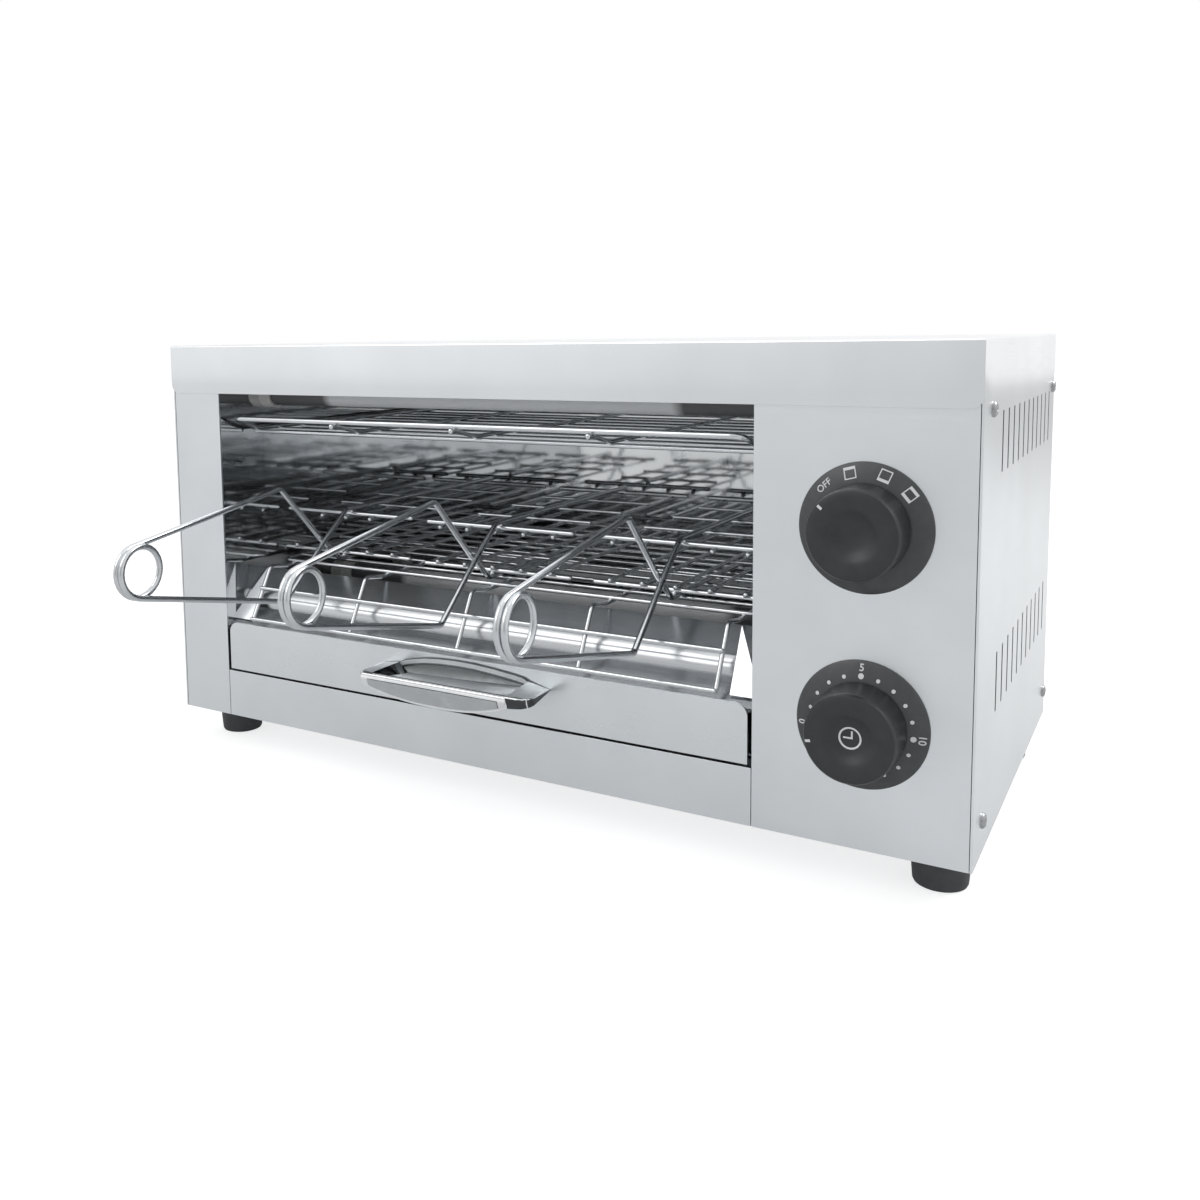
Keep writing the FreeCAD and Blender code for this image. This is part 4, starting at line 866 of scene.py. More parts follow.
# Sub-assemblies
@dataclass
class CabinetShell:
    """Cover, front frame, base, rear panel, their screws, the feet and the wiring's parts."""

    width: float = 440.0
    height: float = 213.0
    lip_reach: float = 1.2
    fold: float = 1.5
    screw_spots: tuple[Pair, ...] = ((22.0, 14.0), (22.0, 184.5), (221.0, 14.0), (221.0, 184.5))
    head_radius: float = 3.4
    head_height: float = 1.6
    head_rows: int = 9
    recess: tuple[float, float, float] = (0.42, 1.9, 0.75)
    recess_taper: float = 2.6
    screw_turn: float = 0.7
    shank: Pair = (1.6, 6.0)
    foot_spots: tuple[Pair, ...] = ((17.0, 28.0), (423.0, 28.0), (17.0, 200.0), (423.0, 200.0))
    foot_height: float = 19.0
    foot_top: float = 13.0
    foot_base: float = 11.5
    foot_turn: float = 0.5

    def on_fold(self, spot: Vector) -> bool:
        """Whether a corner lies on one of the cover's folds around the top."""
        on_side = min(abs(spot.x), abs(spot.x - self.width)) < 0.01
        return abs(spot.z - self.height) < 0.01 and (on_side or abs(spot.y + self.lip_reach) < 0.01)

    def build(self) -> None:
        """Dresses the sheets and adds the screws and feet."""
        cover = softened("outer_cover", 0.3, self.on_fold, self.fold)
        settle(cover, "cover_steel", Body.CABINET.value, "satin_steel", "outer_cover")
        for node in ("front_frame", "base_pan", "rear_panel"):
            settle(softened(node, 0.35), "front_steel", Body.CABINET.value, "satin_steel", node)
        self.add_screws()
        self.add_feet()
        dress("zinc_screw", "foot_screws")
        dress("housing_plastic", "terminal_block")
        dress("foot_rubber", "cable_gland")

    def head_level(self, x: float, y: float) -> float:
        """Height of a screw's head, with its cross recess, above its seat."""
        radius = min(1.0, math.hypot(x, y) / self.head_radius)
        width, length, depth = self.recess
        reach = max(abs(x), abs(y))
        level = self.head_height * math.sqrt(max(0.0, 1.0 - radius ** 3))
        if min(abs(x), abs(y)) < width and reach < length:
            level -= depth * (1.0 - reach / self.recess_taper)
        return max(level, 0.0)

    def screw(self) -> Piece:
        """A pan-head screw with a cross recess, its seat at the origin and its head along Z."""
        around = 40
        rows = []
        for row in range(self.head_rows + 1):
            radius = self.head_radius * math.sin(math.pi / 2 * row / self.head_rows)
            rows.append([vec(x, y, self.head_level(x, y)) * MM for x, y in ring(radius, around)])
        radius, length = self.shank
        for size, height in ((radius, 0.0), (radius, -length), (0.0, -length)):
            rows.append([vec(x, y, height) * MM for x, y in ring(size, around)])
        return outward(lofted("single_screw", rows, True), 40.0)

    def add_screws(self) -> None:
        """Eight screws in the cover's sides."""
        spots, turns = [], []
        for number, (y, z) in enumerate(self.screw_spots):
            for x, side in ((0.0, -1.0), (self.width, 1.0)):
                spots.append(CABINET.at(x, y, z))
                turn = vec(side, 0.0, 0.0).to_track_quat("Z", "Y").to_matrix()
                spin = Matrix.Rotation(self.screw_turn * number + side, 3, "Z")
                turns.append(Vector((turn @ spin).to_euler()))
        piece = repeated("cover_screw_set", self.screw(), spots, turns, "zinc_screw")
        settle(piece, None, Body.CABINET.value, "screw_steel", "cover_screws")

    def add_feet(self) -> None:
        """Four tapered rubber feet with a rounded sole and a recess for the screw."""
        low = -self.foot_height
        profile = [(0.0, low + 6.0), (3.6, low + 6.0), (3.8, low + 0.3), (4.3, low),
                   (self.foot_base - 1.4, low), (self.foot_base - 0.5, low + 0.35),
                   (self.foot_base, low + 1.3), (self.foot_top - 0.1, -1.2),
                   (self.foot_top, -0.6), (self.foot_top - 0.5, 0.0), (0.0, 0.0)]
        foot = turned_piece("single_foot", profile, 48, Matrix.Identity(4))
        spots = [CABINET.at(x, y, 0.0) for x, y in self.foot_spots]
        turns = [vec(0.0, 0.0, self.foot_turn * i) for i in range(len(spots))]
        piece = repeated("rubber_foot_set", foot, spots, turns, "foot_rubber")
        settle(piece, None, Body.CABINET.value, "black_rubber", "rubber_feet")


@dataclass
class GrillChamber:
    """Polished walls, quartz heaters, guards, rests and the deflector."""

    middle: float = 192.0
    upper_tubes: tuple[float, ...] = (40.0, 110.0, 180.0)
    upper_level: float = 183.4
    lower_tubes: tuple[float, ...] = (45.0, 110.0, 175.0)
    lower_level: float = 64.0
    spiral_radius: float = 3.9
    spiral_wire: float = 0.45
    spiral_length: float = 326.0
    spiral_turns: float = 90.0
    thin: float = 1.1
    thick: float = 1.5
    weld: float = 0.4
    frame_bend: float = 7.2
    rod_bend: float = 4.0
    rail_bend: float = 8.0
    end_share: float = 1.05
    weld_share: float = 1.1
    sink_share: float = 0.8
    slope_rods: Pair = (0.0, 0.57)
    rear: float = 206.0
    rear_clear: float = 12.0
    upper_half: float = 151.0
    upper_front: float = 5.0
    upper_bend: float = 24.0
    upper_lip: float = 171.6
    upper_flat: float = 165.0
    upper_pitch: float = 76.5
    upper_rod_pitch: float = 20.0
    lower_half: float = 148.0
    lower_pitch: float = 69.35
    lower_flat: float = 83.4
    lower_front: float = 39.0
    lower_rod_pitch: float = 16.7
    toe: Pair = (2.9, 57.4)
    crest: Pair = (18.6, 85.6)
    settle_y: float = 32.0

    def build(self) -> None:
        """Dresses the chamber and adds spirals and guards."""
        dress("polished_chamber_sheet", "chamber_left_wall", "chamber_right_wall",
              "chamber_back_wall", "chamber_ceiling")
        dress("mirror_strip", "front_deflector")
        dress("tray_steel", "deflector_cheeks")
        dress("bright_steel", "upper_guard_rests", "lower_guard_rests")
        dress("frosted_quartz", "upper_quartz_tubes", "lower_quartz_tubes")
        dress("fired_ceramic", "ceramic_holders")
        dress("galvanised_sheet", "heat_shield")
        left = self.middle - self.spiral_length / 2
        for name, rows, level in (("upper", self.upper_tubes, self.upper_level),
                                  ("lower", self.lower_tubes, self.lower_level)):
            starts = new_piece(f"{name}_spiral_wires", [CABINET.at(left, y, level) for y in rows])
            piece = SPIRALS.run(starts, "heating_wire", Turns=self.spiral_turns,
                                Radius=self.spiral_radius * MM, Length=self.spiral_length * MM,
                                Wire=self.spiral_wire * MM)
            settle(piece, None, Body.CABINET.value, "spiral_wire", f"{name}_heating_spirals")
        for name, work in (("upper_guard", self.upper_guard()),
                           ("lower_guard", self.lower_guard())):
            settle(work.build("plated_guard_wire"), None, Body.CABINET.value, "guard_chrome", name)

    def upper_guard(self) -> WireWork:
        """Thick frame with a raised front lip, bent cross rods and thin rods below them."""
        work = WireWork("upper_guard_wires")
        lip, flat, thin, thick = self.upper_lip, self.upper_flat, self.thin, self.thick
        half, middle, rear = self.upper_half, self.middle, self.rear
        side = ((rear, flat), (self.upper_bend, flat), (self.upper_front, lip))
        work.run([vec(middle - half, *corner) for corner in side]
                 + [vec(middle + half, *corner) for corner in side[::-1]],
                 thick, self.frame_bend)
        work.rod(half, middle, rear, flat, thick, thick * self.end_share)
        columns = [middle + step * self.upper_pitch for step in (-1, 0, 1)]
        drop = thick + thin - self.weld
        for x in columns:
            tip = vec(x, self.upper_front - 2 * thick, lip - drop)
            work.run([tip, vec(x, self.upper_front, lip - drop), vec(x, self.upper_bend, flat),
                      vec(x, rear, flat)], thin, self.rod_bend)
            work.bead(tip, thin * 1.5)
            work.bead(vec(x, self.upper_front, lip - drop * 0.6), thin)
        depth = rear - self.upper_bend - self.rear_clear
        for index in range(int(depth / self.upper_rod_pitch) + 1):
            y = self.upper_bend + self.upper_rod_pitch * index
            work.rod(half, middle, y, flat - 2 * thin + self.weld, thin, thin * self.end_share)
            for x in columns:
                work.bead(vec(x, y, flat - thin * self.sink_share), thin * self.weld_share)
        return work

    def lower_guard(self) -> WireWork:
        """Depthwise wires with a sloping front, and rods welded across their tops."""
        work = WireWork("lower_guard_wires")
        middle, rear, thin, flat = self.middle, self.rear, self.thin, self.lower_flat
        above = flat + 2 * thin - self.weld
        columns = [middle + step * self.lower_pitch for step in range(-2, 3)]
        for x in columns:
            work.run([vec(x, *self.toe), vec(x, *self.crest), vec(x, self.settle_y, flat),
                      vec(x, rear, flat)], thin, self.rod_bend)
            work.bead(vec(x, *self.toe), thin)
        toe = vec(0.0, *self.toe)
        slope = vec(0.0, *self.crest) - toe
        out = vec(0.0, -slope.z, slope.y).normalized()
        for share in self.slope_rods:
            spot = toe + slope * share + out * (above - flat)
            work.rod(2 * self.lower_pitch, middle, spot.y, spot.z, thin, thin)
            for x in columns:
                work.bead(vec(x, 0.0, 0.0) + spot - out * thin * self.sink_share,
                          thin * self.weld_share)
        left, right = middle - self.lower_half, middle + self.lower_half
        work.run([vec(left, rear + self.thick, above), vec(left, self.lower_front, above),
                  vec(right, self.lower_front, above), vec(right, rear + self.thick, above)],
                 thin, self.rail_bend)
        rods = round((rear - self.lower_front) / self.lower_rod_pitch)
        for index in range(rods + 1):
            y = self.lower_front + (rear - self.lower_front) * index / rods
            if index:
                work.rod(self.lower_half, middle, y, above, thin)
            for x in columns:
                work.bead(vec(x, y, above - thin * self.sink_share), thin * self.weld_share)
        return work


@dataclass
class TrayHandle:
    """Cast chrome handle: a bordered apron, rounded ends, a trough and an arched back plate."""

    middle: float = 198.0
    front_middle: float = 192.3
    rim_half: float = 42.9
    panel_half: float = 38.6
    panel_inset: float = 1.2
    panel_relief: float = 0.45
    front: float = -21.3
    rim: float = 0.7
    rim_level: float = 46.0
    band: float = 2.9
    band_slope: float = 0.3
    tilt: float = 0.45
    belly: float = 33.8
    end_low: float = 41.0
    start: Pair = (48.2, 37.4)
    corner: float = 49.3
    corner_radius: float = 6.0
    heel: float = -0.3
    heel_level: float = 46.6
    wall: float = 0.8
    floor: float = 44.4
    floor_rear: Pair = (43.6, 46.4)
    rear: float = -3.0
    hollow: Pair = (155.5, 235.5)
    hollow_shift: float = 2.5
    arch: tuple[Pair, ...] = ((159.0, 48.0), (161.0, 49.2), (165.5, 50.5), (175.0, 52.3),
                              (185.0, 53.2), (195.0, 53.5), (205.0, 53.3), (217.0, 52.4),
                              (228.0, 51.2), (234.0, 50.3), (236.4, 48.9))
    fold_drop: float = 2.6
    bow: float = 2.4
    end_rise: float = 1.15
    end_sink: float = 1.9
    curl_rate: float = 4.0

    def build(self) -> None:
        """Makes every part of the handle."""
        # Apart from the apron, these finishes are dimmer and darker copies of the same cast chrome:
        # painted shade and painted dark reflections
        sheets = (
            ("apron", partial(self.apron, self.rim_half), 28, 8, "cast_handle_chrome"),
            ("panel", partial(self.apron, self.panel_half), 28, 8, "handle_satin_painted_shade"),
            ("left_end", partial(self.end, -1.0), 22, 5, "handle_chrome_painted_shade"),
            ("right_end", partial(self.end, 1.0), 22, 5, "handle_chrome_painted_dark_reflection"),
            ("trough", self.trough, 32, 8, "handle_floor_chrome_painted_shade"),
            ("left_wing", partial(self.wing, -1.0), 12, 4, "handle_chrome_painted_shade"),
            ("right_wing", partial(self.wing, 1.0), 12, 4, "handle_chrome_painted_shade"),
            ("back_band", self.back_band, 40, 3, "handle_satin_painted_shade"),
            ("back_hollow", self.back_hollow, 40, 6, "handle_hollow_painted_shade"),
            ("left_cheek", partial(self.cheek, -1.0), 10, 4, "handle_chrome_painted_dark_reflection"),
            ("right_cheek", partial(self.cheek, 1.0), 10, 4, "handle_chrome_painted_dark_reflection"),
        )
        for name, surface, across, up, finish in sheets:
            nodes = ("tray_handle",) if name == "apron" else ()
            piece = self.sheet(f"tray_handle_{name}", surface, across, up)
            settle(piece, finish, Body.TRAY.value, "handle_chrome", *nodes)
        # The second piece is painted shade: dark lines where the casting's gaps and outlines fall into
        # shade
        for piece in (self.border().build("cast_handle_chrome"),
                      self.painted_dark_lines().build("handle_chrome_painted_dark_reflection", 10)):
            settle(piece, None, Body.TRAY.value, "handle_chrome")

    def sheet(self, name: str, surface: Surface, across: int, up: int) -> Piece:
        """A smooth plate that follows a surface.

        Args:
            name: Name of the piece.
            surface: Its point for two shares from 0 to 1.
            across: Faces along the first share.
            up: Faces along the second share.

        Returns:
            The closed plate.
        """
        rows = [[CABINET.at(*surface(i / across, j / up)) for j in range(up + 1)]
                for i in range(across + 1)]
        piece = lofted(name, rows, False)
        wall = piece.modifiers.new("wall", "SOLIDIFY")
        wall.thickness = self.wall * MM
        wall.offset = 0.0
        return outward(applied(piece), 40.0)

    def low(self, x: float) -> float:
        """Height of the apron's lower edge at a distance from its middle."""
        return self.belly + (self.end_low - self.belly) * (abs(x) / self.rim_half) ** self.bow

    def on_front(self, x: float, z: float) -> Vector:
        """A point on the front: the band leans back upwards, the rest leans back downwards."""
        edge = self.rim_level + self.rim - self.band
        back = self.band_slope * (z - edge) if z > edge else self.tilt * (edge - z)
        return vec(self.front_middle + x, self.front + back, z)

    def apron(self, half: float, u: float, v: float) -> Vector:
        """Front of the handle out to its border, or the panel set on it, from its lower edge up."""
        x = (2.0 * u - 1.0) * half
        inside = 0.0 if half == self.rim_half else 1.0
        low = self.low(x) + self.panel_inset * inside
        high = self.rim_level + self.rim * 0.6 - inside * (self.band - 0.5)
        return self.on_front(x, low + (high - low) * v) - vec(0.0, self.panel_relief * inside, 0.0)

    def outline(self, side: float, share: float) -> Vector:
        """Plan of an end, from the border round the corner to the tray; X is from the middle."""
        start, front = self.start[side > 0], self.front + 0.4
        radius = min(self.corner_radius, self.corner - start - 0.4)
        points = rounded([vec(start, front, 0.0), vec(self.corner, front, 0.0),
                          vec(self.corner, self.heel, 0.0)], radius, 8.0)
        lengths = [(after - before).length for before, after in zip(points, points[1:])]
        rest = share * sum(lengths)
        for before, after, length in zip(points, points[1:], lengths):
            if rest <= length:
                return before.lerp(after, rest / length)
            rest -= length
        return points[-1]

    def end(self, side: float, u: float, v: float) -> Vector:
        """Rounded end and the wedge behind it, up to the tray."""
        plan = self.outline(side, u)
        low = self.end_low + (self.heel_level - 0.8 - self.end_low) * u ** self.end_rise
        high = self.rim_level + 0.6 + (self.heel_level - self.rim_level - 0.6) * u
        sink = self.end_sink * (1.0 - v) ** 2.2 * (1.0 - u)
        return vec(self.middle + side * plan.x, plan.y + sink, low + (high - low) * v)

    def cheek_top(self, side: float, u: float) -> Vector:
        """Upper edge of an inner wall, from the border back to the arch."""
        x, z = self.arch[0] if side < 0 else self.arch[-1]
        near = vec(self.hollow[side > 0], self.front + 1.4, self.rim_level + 0.9)
        return near.lerp(vec(x, -1.2, z), u)

    def cheek(self, side: float, u: float, v: float) -> Vector:
        """Inner wall of an end, sloping down to the floor."""
        top = self.cheek_top(side, u)
        foot = 9.0 if side < 0 else 2.0
        low = self.rim_level + (self.floor - self.rim_level) * min(1.0, u * 3.0) - 1.0
        return vec(top.x - side * foot * (1.0 - v) * min(1.0, u * 1.6), top.y,
                   low + (top.z - low) * v ** 1.4)

    def wing(self, side: float, u: float, v: float) -> Vector:
        """Top of an end, between its inner wall and its outer edge."""
        plan = self.outline(side, 0.18 + 0.82 * u)
        outer = vec(self.middle + side * (plan.x - 0.3), plan.y, self.rim_level + 0.5)
        return self.cheek_top(side, u).lerp(outer, v)

    def trough(self, u: float, v: float) -> Vector:
        """Floor between the border and the back plate."""
        left, right = self.hollow[0] + 0.6, self.hollow[1] - 0.6
        x = left + self.hollow_shift * v + (right - left) * u
        y = self.front + 1.0 + (self.rear - self.front - 1.0) * v
        level = self.floor + (self.base(x) - self.floor) * v
        curl = 1.0 - math.sin(math.pi / 2 * min(1.0, v * self.curl_rate))
        return vec(x, y, level + (self.rim_level + 0.6 - self.floor) * curl)

    def base(self, x: float) -> float:
        """Height of the back plate's lower line."""
        share = (x - self.arch[0][0]) / (self.arch[-1][0] - self.arch[0][0])
        return self.floor_rear[0] + (self.floor_rear[1] - self.floor_rear[0]) * share

    def crown(self, x: float) -> float:
        """Height of the back plate's arched edge."""
        for (x0, z0), (x1, z1) in zip(self.arch, self.arch[1:]):
            if x <= x1:
                break
        return z0 + (z1 - z0) * min(1.0, max(0.0, (x - x0) / (x1 - x0)))

    def back_line(self, u: float, drop: float) -> Pair:
        """Place and height of a line on the back plate, a drop below its arched edge."""
        x = self.arch[0][0] + (self.arch[-1][0] - self.arch[0][0]) * u
        return x, max(self.base(x) + 0.6, self.crown(x) - drop)

    def back_band(self, u: float, v: float) -> Vector:
        """Upright band of the back plate above its fold."""
        x, fold = self.back_line(u, self.fold_drop)
        return vec(x, -1.0 - 0.3 * (1.0 - v), fold + (self.crown(x) - fold) * v)

    def back_hollow(self, u: float, v: float) -> Vector:
        """Hollow of the back plate below its fold."""
        x, fold = self.back_line(u, self.fold_drop)
        low = self.base(x) - 0.4
        return vec(x, -1.3 + (self.rear + 1.0) * (1.0 - v) ** 2, low + (fold - low) * v)

    def border(self) -> WireWork:
        """Raised bright border around the apron and thin ones at the right corner and the ends."""
        work = WireWork("tray_handle_border")
        half = self.rim_half
        upper = [self.on_front(side * half, self.rim_level) for side in SIDES]
        reaches = [half * step / 20 for step in range(-20, 21)]
        lower = [self.on_front(x, self.low(x)) for x in reaches]
        work.run([lower[0], *upper, lower[-1]], self.rim, 1.2, self.rim)
        work.run(lower, 0.55)
        work.run([self.end(1.0, 0.36, share) for share in (0.0, 0.5, 1.0)], 0.5, 0.0, 0.5)
        for side in SIDES:
            work.run([self.end(side, share / 10, 1.0) for share in range(11)], 0.45)
        return work

    def painted_dark_lines(self) -> WireWork:
        """Painted shade: dark lines behind the border, around the panel and along the back plate."""
        work = WireWork("tray_handle_grooves")
        reach = self.corner - 2.5
        work.rod(reach, self.middle - 0.5, self.front + 1.5, self.rim_level + 0.75, 0.42)
        shares = [step / 20 for step in range(21)]
        edge = [self.apron(self.panel_half, share, 0.0) for share in shares]
        edge += [self.apron(self.panel_half, share, 1.0) for share in shares[::-1]]
        work.run(edge + edge[:1], 0.2)
        for drop, radius, y in ((0.0, 0.36, -1.0), (self.fold_drop, 0.55, -1.5)):
            line = [self.back_line(step / 32, drop) for step in range(33)]
            work.run([vec(x, y, z) for x, z in line], radius)
        ends = (self.arch[0][0] + 4.0, self.arch[-1][0] - 1.0)
        work.run([vec(x, self.rear, self.base(x) + 0.3) for x in ends], 0.25)
        return work


@dataclass
class CrumbTray:
    """Tray front, pan, runners and the handle."""

    handle: TrayHandle = field(default_factory=TrayHandle)

    def build(self) -> None:
        """Dresses the tray and adds its handle."""
        front = softened("tray_front", 0.4)
        settle(front, "tray_steel", Body.TRAY.value, "tray_steel", "tray_front")
        dress("bright_steel", "crumb_tray_pan")
        dress("galvanised_sheet", "left_tray_runner", "right_tray_runner")
        dress("zinc_screw", "handle_screws")
        self.handle.build()


# Flat prints, in the XY plane about a control's axis
def flat_print(name: str, outlines: Sequence[Sequence[Pair]]) -> Piece:
    """A flat print of several polygons."""
    points, faces = [], []
    for outline in outlines:
        faces.append(tuple(range(len(points), len(points) + len(outline))))
        points += [(x, y, 0.0) for x, y in outline]
    return new_piece(name, points, faces)


def placed(outline: Sequence[Pair], radius: float, clock: float) -> list[Pair]:
    """Moves an outline out from the axis and round to a clock angle in degrees."""
    sine, cosine = math.sin(math.radians(clock)), math.cos(math.radians(clock))
    return [(x * cosine + (radius + y) * sine, (radius + y) * cosine - x * sine)
            for x, y in outline]


def oblong(low_x: float, high_x: float, low_y: float, high_y: float) -> list[Pair]:
    """A rectangle's outline."""
    return [(low_x, low_y), (high_x, low_y), (high_x, high_y), (low_x, high_y)]


def lettering(text: str, size: float, radius: float, clock: float, boldness: float) -> Piece:
    """Generic lettering as a flat mesh, standing outwards at a clock angle.

    Args:
        text: The characters.
        size: Size of the type.
        radius: Distance of its middle from the axis.
        clock: Its clock angle in degrees.
        boldness: How far its outline is pushed out.

    Returns:
        The flat mesh.
    """
    curve = bpy.data.curves.new("letters", "FONT")
    curve.body = text
    curve.size = size
    curve.offset = boldness
    curve.align_x = curve.align_y = "CENTER"
    holder = linked("letters", curve)
    depsgraph = bpy.context.evaluated_depsgraph_get()
    mesh = bpy.data.meshes.new_from_object(holder.evaluated_get(depsgraph))
    bpy.data.objects.remove(holder)
    for vertex in mesh.vertices:
        vertex.co = (*placed([vertex.co[:2]], radius, clock)[0], 0.0)
    return linked("letters", mesh)


def merged(name: str, parts: Sequence[Piece]) -> Piece:
    """Several flat pieces as one."""
    work = bmesh.new()
    for part in parts:
        work.from_mesh(part.data)
        bpy.data.objects.remove(part)
    return worked(name, work)


@dataclass
class RotaryControl:
    """One control: a sloping dial plate with its print, and a dished knob with its mark."""

    name: str
    body: Body
    height: float
    pointer: float
    middle: float = 395.8
    plate_radius: float = 27.3
    plate_edge: float = 0.8
    plate_height: float = 3.8
    plate_round: Pair = (0.7, 0.22)
    slope_end: float = 0.4
    opening: float = 8.3
    knob_foot: float = 4.6
    knob_radius: float = 19.0
    knob_front: float = 18.6
    knob_face: float = 21.9
    dish_depth: float = 3.4
    ink_depth: float = 0.09

    def axes(self) -> Matrix:
        """Local Z along the control's axis towards the eye, local X to the right, local Y up."""
        centre = CABINET.at(self.middle, 0.0, self.height)
        turn = Matrix(((1, 0, 0), (0, 0, -1), (0, 1, 0))).to_4x4()
        return Matrix.Translation(centre) @ turn

    def knob_profile(self) -> list[Pair]:
        """Radius and reach of the knob's outline, from its foot over its edge to its middle."""
        foot, face, side, edge = self.knob_foot, self.knob_face, self.knob_radius, self.knob_front
        drops = ((13.2, 0.08), (11.6, 0.20), (10.3, 0.55), (9.2, 1.20), (7.8, 2.10), (5.9, 2.85),
                 (3.2, 3.30), (0.0, self.dish_depth))
        return [(0.0, foot), (side - 0.5, foot), (side, foot + 0.5), (side - 0.35, foot + 5.0),
                (edge - 0.25, foot + 11.0), (edge, face - 2.2), (edge - 0.1, face - 1.2),
                (edge - 0.7, face - 0.4), (edge - 1.6, face - 0.08), (edge - 3.4, face),
                *((radius, face - drop) for radius, drop in drops)]

    def knob_reach(self, radius: float) -> float:
        """Height of the knob's front above the panel at a radius."""
        lowest = self.knob_face - self.dish_depth - 0.1
        front = [spot for spot in self.knob_profile() if spot[1] > lowest][::-1]
        for (near, low), (far, high) in zip(front, front[1:]):
            if near <= radius <= far:
                return low + (high - low) * (radius - near) / max(far - near, 1e-6)
        return self.knob_face

    def plate_reach(self, radius: float) -> float:
        """Height of the dial plate's slope above the panel at a radius."""
        low = self.plate_edge + self.plate_round[1]
        inward = self.plate_radius - self.plate_round[0] - radius
        run = self.plate_radius - self.plate_round[0] - self.knob_radius - self.slope_end
        return low + (self.plate_height - low) * inward / run

    def build(self) -> None:
        """Adds the dial plate, the knob and their marks, and dresses the parts behind the panel."""
        outer, edge, top = self.plate_radius, self.plate_edge, self.plate_height
        bevel, lift = self.plate_round
        profile = [(self.opening, 0.0), (outer, 0.0), (outer, edge * 0.6), (outer - 0.25, edge),
                   (outer - bevel, edge + lift), (self.knob_radius + self.slope_end, top - 0.05),
                   (self.knob_radius - 0.6, top), (self.opening, top), (self.opening, 0.0)]
        plate = turned_piece(f"{self.name}_dial", profile, 96, self.axes())
        settle(plate, "dial_plastic", Body.CABINET.value, "black_dial", f"{self.name}_dial_plate")
        knob = turned_piece(f"{self.name}_knob_cap", self.knob_profile(), 96, self.axes())
        settle(knob, "knob_plastic", self.body.value, "black_plastic", f"{self.name}_knob")
        for mark, flat, reach, body, slot in (
                ("dial_marks", self.dial_marks(), self.plate_reach, Body.CABINET.value,
                 "black_dial"),
                ("knob_mark", self.knob_marks(), self.knob_reach, self.body.value,
                 "black_plastic")):
            settle(self.printed(f"{self.name}_{mark}", flat, reach), "white_ink", body, slot)
        for part, finish in (("housing", "housing_plastic"), ("nut", "nut_brass"),
                             ("shaft", "zinc_screw")):
            dress(finish, f"{self.name}_{part}")

    def printed(self, name: str, flat: Piece, reach: Callable[[float], float]) -> Piece:
        """Lays a flat print on a turned surface.

        Args:
            name: Name of the piece.
            flat: The print.
            reach: Height of the surface at a radius.

        Returns:
            The print as a thin raised layer.
        """
        work = bmesh.new()
        work.from_mesh(flat.data)
        bpy.data.objects.remove(flat)
        bmesh.ops.triangulate(work, faces=work.faces)
        long_edges = [edge for edge in work.edges if edge.calc_length() > 1.0]
        bmesh.ops.subdivide_edges(work, edges=long_edges, cuts=2)
        bmesh.ops.triangulate(work, faces=work.faces)
        axes = self.axes()
        for vertex in work.verts:
            x, y = vertex.co.x, vertex.co.y
            vertex.co = axes @ (vec(x, y, reach(math.hypot(x, y)) + self.ink_depth) * MM)
        work.normal_update()
        turned_away = [face for face in work.faces if face.normal.y > 0]
        bmesh.ops.reverse_faces(work, faces=turned_away)
        piece = worked(name, work)
        layer = piece.modifiers.new("layer", "SOLIDIFY")
        layer.thickness = 1.5 * self.ink_depth * MM
        layer.offset = -1.0
        return applied(piece)

    def pointer_bar(self) -> list[Pair]:
        """A short bar at the knob's edge."""
        return placed(oblong(-0.55, 0.55, -1.2, 1.0), self.knob_front - 2.0, self.pointer)

    def dial_marks(self) -> Piece:
        """The print on the dial plate, flat."""
        raise NotImplementedError

    def knob_marks(self) -> Piece:
        """The print on the knob, flat."""
        return flat_print(f"{self.name}_pointer", [self.pointer_bar()])


@dataclass
class ElementSelector(RotaryControl):
    """Selector with OFF and three squares: upper, lower and both elements."""

    mark_radius: float = 23.3
    square_half: float = 2.45
    thin_line: float = 0.45
    thick_line: float = 1.15
    off_print: tuple[float, float, float, float] = (4.0, 23.4, -44.5, 0.05)

    def dial_marks(self) -> Piece:
        """OFF and the three squares, whose thick sides show the elements that are on."""
        outlines = []
        half, line = self.square_half, self.thin_line
        for clock, above, below in ((-15.0, True, False), (20.0, False, True), (50.0, True, True)):
            top = half - (self.thick_line if above else line)
            base = (self.thick_line if below else line) - half
            bars = (oblong(-half, half, top, half), oblong(-half, half, -half, base),
                    oblong(-half, line - half, base, top), oblong(half - line, half, base, top))
            outlines += [placed(bar, self.mark_radius, clock) for bar in bars]
        squares = flat_print("squares", outlines)
        return merged("selector_print", [squares, lettering("OFF", *self.off_print)])


